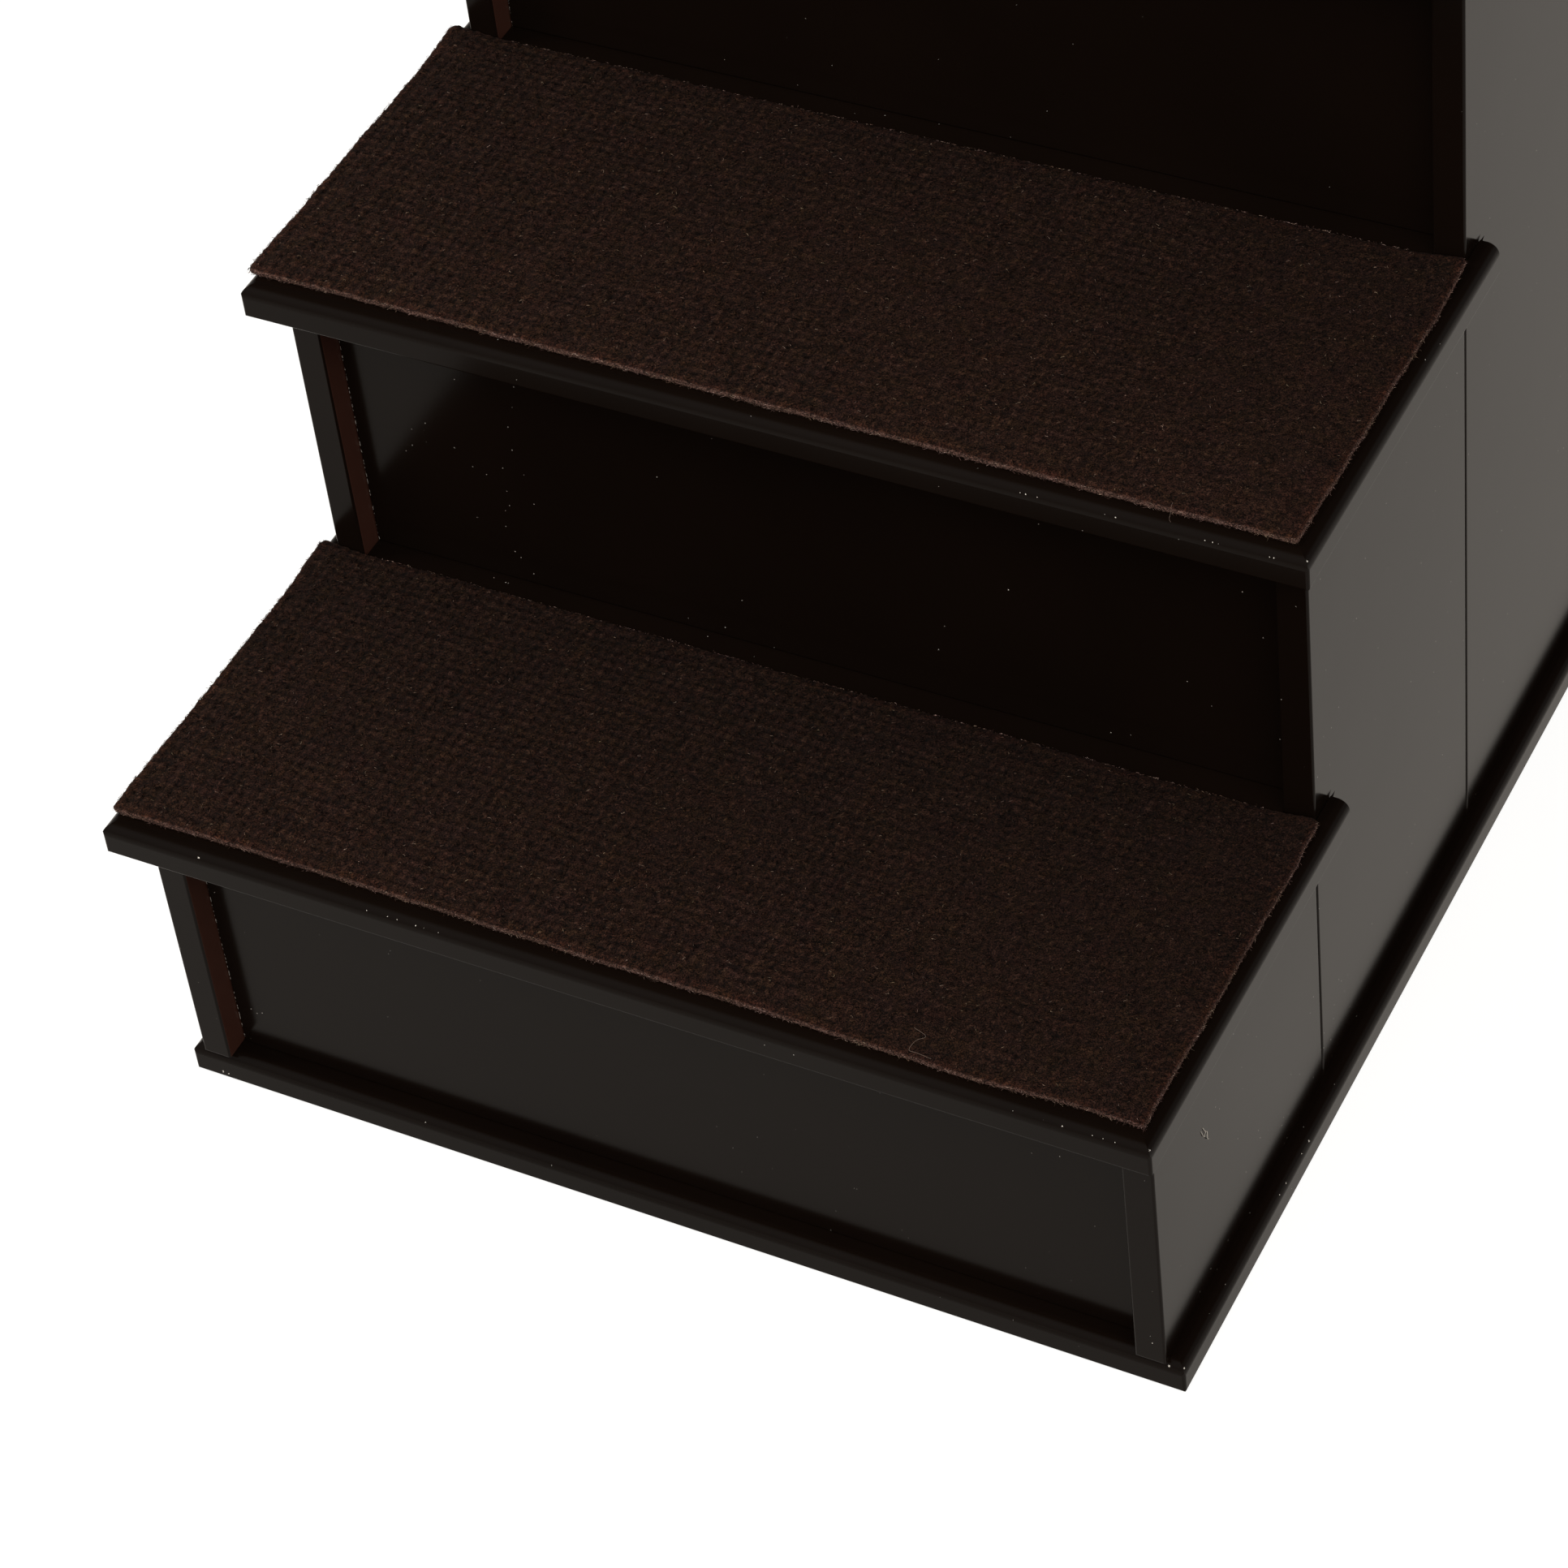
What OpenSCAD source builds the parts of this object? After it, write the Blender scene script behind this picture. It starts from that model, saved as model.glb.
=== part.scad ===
// Three-step pet stairs: flat painted boards on one base board, with a loose carpet mat on each tread.
// The stairs climb towards +Y, +Z is up, and the origin is on the floor under the middle of the whole part.

/* [Steps] */
// Width over the outer faces of the side boards
step_w = 400; // [320:5:500]
// Depth from the front of one step's side boards to the next
run = 145; // [120:1:190]
// Height from one tread to the next
rise = 140; // [115:1:170]
// Height of the first tread's top above the base board's underside
first_rise = 149; // [120:1:180]

/* [Boards] */
// Thickness of the boards that stand upright
board_t = 12; // [10:0.5:15]
// Thickness of the boards that lie flat: the treads and the base board
slab_t = 13.4; // [11:0.1:16]
// Radius of the eased edges on the boards that stand upright
board_ease_r = 1; // [0.5:0.1:2]
// Radius of the upper front and side edges of the treads and the base board
tread_ease_r = 4.8; // [1:0.1:5.5]
// Radius of their corners seen from above
tread_corner_r = 1.2; // [0.5:0.1:4]
// Radius of their lower edges, which are sharper
under_ease_r = 0.8; // [0.5:0.1:2]
// How far a tread reaches past the side boards at each side
tread_side = 7.5; // [5:0.5:15]
// How far a tread reaches in front of its own side boards
tread_nose = 16; // [10:0.5:25]
// How far a tread's ears reach back past the front of the next side boards
ear_d = 13.5; // [8:0.5:20]
// How far a riser stands behind the front of its side boards
riser_setback = 10; // [5:0.5:16]
// How far the base board reaches past the side boards at each side
base_side = 6.5; // [2:0.5:15]
// How far the base board's front edge stands behind the front of the side boards
base_setback = 1; // [0:0.5:5]
// Clearance between boards that stand edge to face
fit_gap = 0.2; // [0.1:0.05:0.4]
// Width of the joint line between neighbouring side boards
joint_gap = 0.4; // [0.2:0.05:1]

/* [Mats] */
// Thickness of a carpet mat, pile and backing together
mat_t = 3; // [2:0.5:6]
// Bare tread between the tread's front edge and the mat
mat_front = 7.2; // [4:0.2:12]
// Room between the mat's back edge and the next side boards
mat_back = 1.6; // [1.4:0.1:5]
// Bare tread at each end of a centred mat
mat_side = 3; // [1:0.2:10]
// Radius of the mat's corners seen from above
mat_corner_r = 2.5; // [1.5:0.5:10]
// How far each end of a mat lies out of line, one forwards and one back
mat_skew_d = 1.2; // [0:0.1:1.3]
// Height of the hook strips under a mat
hook_t = 0.8; // [0.5:0.1:1.5]
// Width of a hook strip
hook_w = 20; // [12:1:30]
// Bare tread between the end of a hook strip and the end of the mat
hook_inset = 32; // [20:1:60]
// Free height between the hook strips and the mat's backing
mat_gap = 0.3; // [0.2:0.05:0.6]

/* [Battens] */
// Side of the square battens inside
batten = 18; // [16:1:22]
// Free length between a batten and the board in front of it
batten_gap = 1; // [0.5:0.5:5]

/* [Fixings] */
// Diameter of the screws' shanks
screw_d = 3.5; // [3:0.1:4.2]
// Diameter of the screws' countersunk heads
head_d = 7; // [6:0.1:7.6]
// Length of the screws
screw_l = 25; // [23:0.5:26]
// Diameter of the dowels
dowel_d = 6; // [4:0.5:7]
// Length of the dowels
dowel_l = 30; // [20:1:40]
// Diameter of the cam locks
cam_d = 12; // [11:0.5:14]
// Wood left between a cam lock and the front of its riser
cam_floor = 2.5; // [2:0.1:3]
// Distance from a riser's end to the middle of its cam locks
cam_inset = 24; // [18:1:34]
// Diameter of the cam bolts' shanks and heads
bolt_d = 5; // [4:0.1:5.4]
// Diameter of the cam bolts' necks, which the cam locks grip
bolt_neck_d = 3.2; // [2.5:0.1:3.6]
// Diameter of the cam bolts' threads
bolt_thread_d = 4.4; // [3:0.1:4.8]
// Length of the cam bolts' threads
bolt_thread_l = 8; // [6:0.1:9]
// Radial clearance round screws, dowels, cam locks and bolts
bore_gap = 0.1; // [0.05:0.01:0.2]

/* [Feet] */
// Diameter of the rubber foot pads
pad_d = 22; // [15:1:30]
// Thickness of the foot pads
pad_t = 1; // [0.5:0.1:5]
// Distance from the base board's edge to the middle of a foot pad
pad_inset = 34; // [30:1:60]

/* [Hidden] */
$fn = 48;

steps = [1, 2, 3];
last_step = 3;
sides = [-1, 1];
left = -1;
right = 1;

// Colours of the finishes
espresso = [0.13, 0.10, 0.08];
pine = [0.80, 0.66, 0.45];
beech = [0.78, 0.60, 0.42];
steel = [0.70, 0.70, 0.72];
rubber = [0.12, 0.12, 0.12];
hook_black = [0.06, 0.06, 0.06];
carpet = [0.30, 0.19, 0.14];

// Overrun of every cut past the face it opens
cut = 1;

// Widths
inner_w = step_w - 2 * board_t;
tread_w = step_w + 2 * tread_side;
base_w = step_w + 2 * base_side;
side_mid_x = (step_w - board_t) / 2;
batten_mid_x = (inner_w - batten) / 2;

// Depths: the top step's side boards are as deep as a tread's ears reach
top_d = run + ear_d;
whole_d = tread_nose + (last_step - 1) * run + top_d;
front_y = tread_nose - whole_d / 2;
back_y = whole_d / 2;
tongue_d = riser_setback + board_t;
function step_y(n) = front_y + (n - 1) * run;
function side_end(n) = n == last_step ? back_y : step_y(n + 1) - joint_gap;
function riser_y(n) = step_y(n) + riser_setback;
function riser_mid_y(n) = riser_y(n) + board_t / 2;
function tread_front(n) = step_y(n) - tread_nose;
function ear_end(n) = n == last_step ? back_y : step_y(n + 1) + ear_d;

// Heights
base_z = pad_t;
base_top = base_z + slab_t;
function tread_top(n) = base_z + first_rise + (n - 1) * rise;
function tread_under(n) = tread_top(n) - slab_t;
function riser_foot(n) = n == 1 ? base_top : tread_top(n - 1);
function riser_h(n) = tread_under(n) - riser_foot(n);
function side_h(n) = tread_under(n) - base_top;

// Screw form
head_h = head_d * 0.45;
tip_l = screw_d * 1.2;
tip_d = screw_d * 0.15;
recess_w = head_d * 0.16;
recess_l = head_d * 0.62;
recess_h = head_h * 0.6;

// Cam lock form: the drum fills its pocket but for the clearance under it
cam_h = board_t - cam_floor - bore_gap;
cam_recess_l = cam_d * 0.6;
cam_recess_w = cam_d * 0.12;
cam_recess_h = cam_h * 0.15;
bolt_head_h = bolt_d * 0.5;
bolt_neck_end = cam_d / 2 + bolt_d * 0.7;

// Where the screws, dowels and cam locks sit, as shares of the piece that carries them
foot_shares = [0.18, 0.82];
edge_shares = [-0.7, 0, 0.7];
bearer_side_shares = [0.12, 0.62];
bearer_up_shares = [0.32, 0.82];
cleat_side_shares = [0.12, 0.5, 0.88];
back_shares = [0.06, 0.44, 0.94];
joint_shares = [[0.25, 0.7], [0.2, 0.5, 0.8]];
cam_shares = [0.22, 0.78];
riser_dowel_share = 0.5;
dowel_in_side_share = 0.27;
hook_shares = [0.2, 0.8];
pad_shares = [0, 0.5, 1];

// Each mat's own shift to one side, as a share of the bare strip at its end
mat_shift_shares = [-0.73, -0.95, -0.35];

// Screws driven up through the base board, as places on its underside
base_screw_places = concat(
    [for (n = steps, s = sides, k = foot_shares) [s * side_mid_x, step_y(n) + k * (side_end(n) - step_y(n))]],
    [for (k = edge_shares) [k * inner_w / 2, riser_mid_y(1)]],
    [for (k = edge_shares) [k * inner_w / 2, back_y - board_t / 2]]
);

// Places along a tread bearer, from the riser it starts behind
function bearer_start(n) = riser_y(n) + board_t + batten_gap;
function bearer_end(n) =
    n == last_step ? back_y - board_t - batten - batten_gap : step_y(n + 1) + tongue_d;
function own_bearer_l(n) = (n == last_step ? bearer_end(n) : step_y(n + 1)) - bearer_start(n);
function bearer_side_places(n) = concat(
    [for (k = bearer_side_shares) bearer_start(n) + k * own_bearer_l(n)],
    n == last_step ? [] : [step_y(n + 1) + tongue_d / 2]
);
function bearer_up_places(n) = [for (k = bearer_up_shares) bearer_start(n) + k * own_bearer_l(n)];

// A rectangle with round corners, of one radius at its lower edge and one at its upper edge
module rounded_outline(size, low_r, high_r) {
    low_share = low_r / (low_r + high_r);
    translate([low_r, 0]) square([size[0] - 2 * low_r, size[1] * low_share]);
    translate([high_r, size[1] * low_share]) square([size[0] - 2 * high_r, size[1] * (1 - low_share)]);
    translate([0, low_r]) square([size[0], size[1] - low_r - high_r]);
    for (x = [low_r, size[0] - low_r]) translate([x, low_r]) circle(low_r);
    for (x = [high_r, size[0] - high_r]) translate([x, size[1] - high_r]) circle(high_r);
}

// A board with eased edges: the part shared by three rounded outlines, one extruded along each axis
module eased_box(size, low_r, high_r, corner_r) {
    intersection() {
        linear_extrude(size[2]) rounded_outline([size[0], size[1]], corner_r, corner_r);
        translate([0, size[1], 0]) rotate([90, 0, 0])
            linear_extrude(size[1]) rounded_outline([size[0], size[2]], low_r, high_r);
        rotate([90, 0, 90]) linear_extrude(size[0]) rounded_outline([size[1], size[2]], low_r, high_r);
    }
}

// A board or batten whose edges are all eased alike
module upright_box(size) {
    eased_box(size, board_ease_r, board_ease_r, board_ease_r);
}

// A board that lies flat: its upper edges are rounder than its lower edges, and its back end is sawn square
module lying_box(size) {
    intersection() {
        eased_box([size[0], size[1] + tread_ease_r, size[2]], under_ease_r, tread_ease_r, tread_corner_r);
        translate([-cut, -cut, -cut]) cube([size[0] + 2 * cut, size[1] + cut, size[2] + 2 * cut]);
    }
}

// Turns a fixing that points up so that it points out towards one side
module facing_side(s) {
    rotate([0, s * 90, 0]) children();
}

// A countersunk screw, head down at the origin and tip up
module screw() {
    difference() {
        rotate_extrude() polygon([
            [0, 0], [head_d / 2, 0], [screw_d / 2, head_h],
            [screw_d / 2, screw_l - tip_l], [tip_d / 2, screw_l], [0, screw_l]
        ]);
        for (turn = [0, 90]) rotate([0, 0, turn])
            translate([-recess_l / 2, -recess_w / 2, -cut]) cube([recess_l, recess_w, recess_h + cut]);
    }
}

// The hole that one screw sits in, with its countersink
module screw_bore() {
    rotate_extrude() polygon([
        [0, -cut], [head_d / 2 + bore_gap, -cut], [head_d / 2 + bore_gap, 0],
        [screw_d / 2 + bore_gap, head_h], [screw_d / 2 + bore_gap, screw_l + bore_gap],
        [0, screw_l + bore_gap]
    ]);
}

// Puts a child at every screw under the base board
module at_base_screws() {
    for (p = base_screw_places) translate([p[0], p[1], base_z]) children();
}

// Puts a child at every screw that goes up through tread n into the riser above it
module at_riser_screws(n) {
    for (k = edge_shares) translate([k * inner_w / 2, riser_mid_y(n + 1), tread_under(n)]) children();
}

// Puts a child at the screws that hold bearer n to the side boards of one side
module at_bearer_side_screws(n, s) {
    for (y = bearer_side_places(n))
        translate([s * (inner_w / 2 - batten), y, tread_under(n) - batten / 2]) facing_side(s) children();
}

// Puts a child at the screws that go up through bearer n into its tread
module at_bearer_up_screws(n, s) {
    for (y = bearer_up_places(n)) translate([s * batten_mid_x, y, tread_under(n) - batten]) children();
}

// Puts a child at the screws that hold a rear cleat to its side board
module at_cleat_screws(s) {
    for (k = cleat_side_shares)
        translate([s * (inner_w / 2 - batten), back_y - board_t - batten / 2, base_top + k * side_h(last_step)])
            facing_side(s) children();
}

// Puts a child at the screws that hold the back panel to a rear cleat
module at_back_screws(s) {
    for (k = back_shares)
        translate([s * batten_mid_x, back_y, base_top + k * side_h(last_step)]) rotate([90, 0, 0]) children();
}

// Puts a child at the dowels across the joint between side boards n and n + 1
module at_joint_dowels(n, s) {
    for (k = joint_shares[n - 1])
        translate([s * side_mid_x, step_y(n + 1) - joint_gap / 2, base_top + k * side_h(n)])
            rotate([90, 0, 0]) children();
}

// Puts a child at the dowel between a riser's end and its side board
module at_riser_dowel(n, s) {
    translate([
        s * (inner_w / 2 + dowel_l * (dowel_in_side_share - 1 / 2)), riser_mid_y(n),
        riser_foot(n) + riser_dowel_share * riser_h(n)
    ]) facing_side(s) children();
}

// Puts a child at the middle of each cam lock at one end of a riser, in the plane of the riser's middle
module at_cams(n, s) {
    for (k = cam_shares)
        translate([s * (inner_w / 2 - cam_inset), riser_mid_y(n), riser_foot(n) + k * riser_h(n)]) children();
}

module dowel(gap = 0) {
    cylinder(h = dowel_l + 2 * gap, d = dowel_d + 2 * gap, center = true);
}

// Bolt of a cam lock, from its head in the cam at the origin to its thread in the side board
module cam_bolt() {
    rotate_extrude() polygon([
        [0, 0], [bolt_d / 2, 0], [bolt_d / 2, bolt_head_h], [bolt_neck_d / 2, bolt_head_h],
        [bolt_neck_d / 2, bolt_neck_end], [bolt_d / 2, bolt_neck_end], [bolt_d / 2, cam_inset],
        [bolt_thread_d / 2, cam_inset], [bolt_thread_d / 2, cam_inset + bolt_thread_l],
        [0, cam_inset + bolt_thread_l]
    ]);
}

// Hole for the bolt, in the riser's end and in the side board's inner face
module bolt_bore() {
    cylinder(h = cam_inset, d = bolt_d + 2 * bore_gap);
    cylinder(h = cam_inset + bolt_thread_l + bore_gap, d = bolt_thread_d + 2 * bore_gap);
}

// Drum of a cam lock, from its foot in the riser to its face, with the hollow that takes the bolt's head
module cam_drum(s) {
    difference() {
        translate([0, board_t / 2 - cam_h, 0]) rotate([-90, 0, 0]) cylinder(h = cam_h, d = cam_d);
        facing_side(s) translate([0, 0, -bore_gap]) cylinder(h = cam_d, d = bolt_d + 2 * bore_gap);
        for (turn = [45, 135]) rotate([0, turn, 0])
            translate([-cam_recess_l / 2, board_t / 2 - cam_recess_h, -cam_recess_w / 2])
                cube([cam_recess_l, cam_recess_h + cut, cam_recess_w]);
    }
}

// Pocket for a cam lock in the back of a riser
module cam_bore() {
    translate([0, cam_floor - board_t / 2, 0]) rotate([-90, 0, 0])
        cylinder(h = board_t - cam_floor + cut, d = cam_d + 2 * bore_gap);
}

module base_board() {
    color(espresso) difference() {
        translate([-base_w / 2, step_y(1) + base_setback, base_z])
            lying_box([base_w, back_y - step_y(1) - base_setback, slab_t]);
        at_base_screws() screw_bore();
    }
}

// One side board stands on the base board and carries its tread, and n counts the steps from the front
module side_board(n, s) {
    color(espresso) difference() {
        translate([s * side_mid_x - board_t / 2, step_y(n), base_top])
            upright_box([board_t, side_end(n) - step_y(n), side_h(n)]);
        at_base_screws() screw_bore();
        at_riser_dowel(n, s) dowel(bore_gap);
        at_cams(n, s) facing_side(s) bolt_bore();
        at_bearer_side_screws(n, s) screw_bore();
        if (n > 1) at_bearer_side_screws(n - 1, s) screw_bore();
        if (n > 1) at_joint_dowels(n - 1, s) dowel(bore_gap);
        if (n < last_step) at_joint_dowels(n, s) dowel(bore_gap);
        if (n == last_step) at_cleat_screws(s) screw_bore();
    }
}

module riser(n) {
    w = inner_w - 2 * fit_gap;
    color(espresso) difference() {
        translate([-w / 2, riser_y(n), riser_foot(n)])
            upright_box([w, board_t, riser_h(n)]);
        if (n == 1) at_base_screws() screw_bore();
        if (n > 1) at_riser_screws(n - 1) screw_bore();
        for (s = sides) {
            at_riser_dowel(n, s) dowel(bore_gap);
            at_cams(n, s) cam_bore();
            at_cams(n, s) facing_side(s) bolt_bore();
        }
    }
}

// A tread has slots in its back edge for the next side boards: its ears pass outside them, and its
// middle runs on between them to carry the next riser
module tread(n) {
    slot_in_x = inner_w / 2 - fit_gap;
    slot_w = board_t + 2 * fit_gap;
    main_d = ear_end(n) - tread_front(n);
    color(espresso) difference() {
        union() {
            translate([-tread_w / 2, tread_front(n), tread_under(n)])
                lying_box([tread_w, main_d, slab_t]);
            if (n < last_step) translate([-slot_in_x, step_y(n + 1) - run / 2, tread_under(n)])
                cube([2 * slot_in_x, run / 2 + tongue_d, slab_t]);
        }
        if (n < last_step) {
            for (s = sides)
                translate([s * side_mid_x - slot_w / 2, step_y(n + 1) - fit_gap, tread_under(n) - cut])
                    cube([slot_w, tongue_d + cut, slab_t + 2 * cut]);
            at_riser_screws(n) screw_bore();
        }
        for (s = sides) at_bearer_up_screws(n, s) screw_bore();
    }
}

module back_panel() {
    w = inner_w - 2 * fit_gap;
    color(espresso) difference() {
        translate([-w / 2, back_y - board_t, base_top])
            upright_box([w, board_t, side_h(last_step)]);
        at_base_screws() screw_bore();
        for (s = sides) at_back_screws(s) screw_bore();
    }
}

// A batten under a tread, which also ties two neighbouring side boards together
module tread_bearer(n, s) {
    color(pine) difference() {
        translate([s * batten_mid_x - batten / 2, bearer_start(n), tread_under(n) - batten])
            upright_box([batten, bearer_end(n) - bearer_start(n), batten]);
        at_bearer_side_screws(n, s) screw_bore();
        at_bearer_up_screws(n, s) screw_bore();
    }
}

// An upright batten that the back panel is screwed to
module rear_cleat(s) {
    color(pine) difference() {
        translate([s * batten_mid_x - batten / 2, back_y - board_t - batten, base_top])
            upright_box([batten, batten, side_h(last_step)]);
        at_cleat_screws(s) screw_bore();
        at_back_screws(s) screw_bore();
    }
}

// A foot pad, whose row counts from the front edge of the base board
module foot_pad(row, s) {
    first_y = step_y(1) + base_setback + pad_inset;
    last_y = back_y - pad_inset;
    color(rubber) translate([s * (base_w / 2 - pad_inset), first_y + pad_shares[row] * (last_y - first_y), 0])
        cylinder(h = pad_t, d = pad_d);
}

module dowels() {
    color(beech) for (s = sides) {
        for (n = steps) at_riser_dowel(n, s) dowel();
        for (n = [1 : last_step - 1]) at_joint_dowels(n, s) dowel();
    }
}

module cam_locks() {
    color(steel) for (n = steps, s = sides) at_cams(n, s) cam_drum(s);
}

module cam_bolts() {
    color(steel) for (n = steps, s = sides) at_cams(n, s) facing_side(s) cam_bolt();
}

module base_screws() {
    color(steel) at_base_screws() screw();
}

module riser_screws() {
    color(steel) for (n = [1 : last_step - 1]) at_riser_screws(n) screw();
}

module bearer_screws() {
    color(steel) for (n = steps, s = sides) {
        at_bearer_side_screws(n, s) screw();
        at_bearer_up_screws(n, s) screw();
    }
}

module cleat_screws() {
    color(steel) for (s = sides) at_cleat_screws(s) screw();
}

module back_screws() {
    color(steel) for (s = sides) at_back_screws(s) screw();
}

// Size and place of a mat, which lies a little to one side and slightly askew
mat_w = tread_w - 2 * mat_side;
mat_d = tread_nose + run - mat_front - mat_back;
mat_turn = -atan(mat_skew_d / (mat_w / 2));
module on_tread(n) {
    translate([mat_shift_shares[n - 1] * mat_side, tread_front(n) + mat_front + mat_d / 2, tread_top(n)])
        children();
}

module hook_strips(n) {
    strip_l = mat_w - 2 * hook_inset;
    color(hook_black) on_tread(n) for (k = hook_shares)
        translate([-strip_l / 2, (k - 1 / 2) * mat_d - hook_w / 2, 0]) cube([strip_l, hook_w, hook_t]);
}

module carpet_mat(n) {
    color(carpet) on_tread(n) rotate([0, 0, mat_turn])
        translate([-mat_w / 2, -mat_d / 2, hook_t + mat_gap])
            eased_box([mat_w, mat_d, mat_t], mat_t / 3, mat_t / 3, mat_corner_r);
}

base_board();
side_board(1, left);  // side_board_1_left
side_board(1, right);  // side_board_1_right
side_board(2, left);  // side_board_2_left
side_board(2, right);  // side_board_2_right
side_board(3, left);  // side_board_3_left
side_board(3, right);  // side_board_3_right
riser(1);  // riser_1
riser(2);  // riser_2
riser(3);  // riser_3
tread(1);  // tread_1
tread(2);  // tread_2
tread(3);  // tread_3
back_panel();
tread_bearer(1, left);  // tread_bearer_1_left
tread_bearer(1, right);  // tread_bearer_1_right
tread_bearer(2, left);  // tread_bearer_2_left
tread_bearer(2, right);  // tread_bearer_2_right
tread_bearer(3, left);  // tread_bearer_3_left
tread_bearer(3, right);  // tread_bearer_3_right
rear_cleat(left);  // rear_cleat_left
rear_cleat(right);  // rear_cleat_right
foot_pad(0, left);  // foot_pad_front_left
foot_pad(0, right);  // foot_pad_front_right
foot_pad(1, left);  // foot_pad_middle_left
foot_pad(1, right);  // foot_pad_middle_right
foot_pad(2, left);  // foot_pad_back_left
foot_pad(2, right);  // foot_pad_back_right
dowels();
cam_locks();
cam_bolts();
base_screws();
riser_screws();
bearer_screws();
cleat_screws();
back_screws();
hook_strips(1);  // hook_strips_1
hook_strips(2);  // hook_strips_2
hook_strips(3);  // hook_strips_3
carpet_mat(1);  // carpet_mat_1
carpet_mat(2);  // carpet_mat_2
carpet_mat(3);  // carpet_mat_3
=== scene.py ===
# %% [markdown]
# # Pet stairs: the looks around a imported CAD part
# The real object is a flight of painted board steps for a cat or a small dog, with a loose carpet mat on
# each tread. The CAD model already holds every board, batten and fixing at its real size. This lesson adds
# what CAD leaves out: paint with its gloss and dust, carpet with its tufts and cut edges, light and a camera.

# %% Load the frame
import math

import bmesh
import bpy
import numpy as np
from mathutils import Matrix, Vector


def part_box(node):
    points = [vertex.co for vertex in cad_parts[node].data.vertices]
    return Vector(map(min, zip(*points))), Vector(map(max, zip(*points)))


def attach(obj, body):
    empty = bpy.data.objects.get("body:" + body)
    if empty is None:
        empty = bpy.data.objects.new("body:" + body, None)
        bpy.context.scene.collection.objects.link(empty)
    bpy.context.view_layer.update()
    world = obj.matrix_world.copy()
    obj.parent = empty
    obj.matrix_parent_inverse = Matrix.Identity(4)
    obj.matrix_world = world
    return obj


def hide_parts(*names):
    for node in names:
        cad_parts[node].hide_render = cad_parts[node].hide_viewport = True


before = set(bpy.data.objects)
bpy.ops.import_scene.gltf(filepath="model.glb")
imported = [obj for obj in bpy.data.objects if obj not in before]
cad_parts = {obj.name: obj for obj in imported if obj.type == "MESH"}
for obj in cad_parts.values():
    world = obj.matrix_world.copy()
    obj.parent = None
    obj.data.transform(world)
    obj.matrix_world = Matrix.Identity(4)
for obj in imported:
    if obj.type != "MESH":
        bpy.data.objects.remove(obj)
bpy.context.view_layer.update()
MM = 0.001
add_to_scene = bpy.context.scene.collection.objects.link

# %% [markdown]
# ## Camera
# The view was solved from the straight edges of the stairs: it looks down at 44 degrees from the front
# right, through a long lens. A shift of a few hundredths places the picture's frame, which cuts off the top
# step, without turning the camera.

# %% Camera
CAMERA_AT = Vector((706.4, -1228.0, 1440.9)) * MM
CAMERA_TURN = math.radians(33.634)
CAMERA_DOWN = math.radians(43.865)
CAMERA_ROLL = math.radians(-8.821)
SENSOR_W = 36.0
PICTURE_PX = 1932.0
FOCAL_PX = 6298.955
CENTRE_PX = (821.90, 890.59)

lens = bpy.data.cameras.new("long_lens")
lens.sensor_width = SENSOR_W
lens.lens = FOCAL_PX / PICTURE_PX * SENSOR_W
lens.shift_x = (PICTURE_PX / 2 - CENTRE_PX[0]) / PICTURE_PX
lens.shift_y = (CENTRE_PX[1] - PICTURE_PX / 2) / PICTURE_PX
camera = bpy.data.objects.new("camera", lens)
add_to_scene(camera)
aim = Matrix.Rotation(CAMERA_TURN, 4, "Z") @ Matrix.Rotation(math.pi / 2 - CAMERA_DOWN, 4, "X")
camera.matrix_world = Matrix.Translation(CAMERA_AT) @ aim @ Matrix.Rotation(CAMERA_ROLL, 4, "Z")
bpy.context.scene.camera = camera
bpy.context.scene.view_settings.view_transform = "Standard"
print("lens", round(lens.lens, 1), "mm, shift", round(lens.shift_x, 4), round(lens.shift_y, 4))

# %% [markdown]
# ## Short calls for node trees
# Every finish here is a small tree of nodes, so helpers keep the recipes readable. The first adds a node and
# either joins or sets its inputs, and the others are short names for what comes up again and again. A colour
# mix has its colour sockets at places 6 and 7, because the same node also mixes numbers and vectors.

# %% Node helpers
MIX_SHARE, MIX_A, MIX_B, MIX_RESULT = 0, 6, 7, 2
NOISE_LOW, NOISE_HIGH = 0.3, 0.7  # nearly all of a noise's values lie between these


def add_node(tree, kind, inputs=None, **settings):
    node = tree.nodes.new("ShaderNode" + kind)
    for key, value in settings.items():
        setattr(node, key, value)
    for key, value in (inputs or {}).items():
        if isinstance(value, bpy.types.NodeSocket):
            tree.links.new(value, node.inputs[key])
        else:
            node.inputs[key].default_value = value
    return node


def maths(tree, operation, a, b=0.0, c=0.0):
    return add_node(tree, "Math", {0: a, 1: b, 2: c}, operation=operation).outputs[0]


def colour_mix(tree, share, a, b):
    socket = lambda value: value if isinstance(value, bpy.types.NodeSocket) else (*value, 1.0)
    inputs = {MIX_SHARE: share, MIX_A: socket(a), MIX_B: socket(b)}
    return add_node(tree, "Mix", inputs, data_type="RGBA").outputs[MIX_RESULT]


def vector(tree, operation, a, b=(0.0, 0.0, 0.0)):
    return add_node(tree, "VectorMath", {0: a, 1: b}, operation=operation).outputs


def split(tree, place):
    return add_node(tree, "SeparateXYZ", {0: place}).outputs


def rescale(tree, value, low, high, to_low=0.0, to_high=1.0):
    inputs = {"Value": value, "From Min": low, "From Max": high, "To Min": to_low, "To Max": to_high}
    return add_node(tree, "MapRange", inputs).outputs[0]


def noise(tree, where, scale, detail=2.0):
    return add_node(tree, "TexNoise", {"Vector": where, "Scale": scale, "Detail": detail}).outputs[0]


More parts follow.
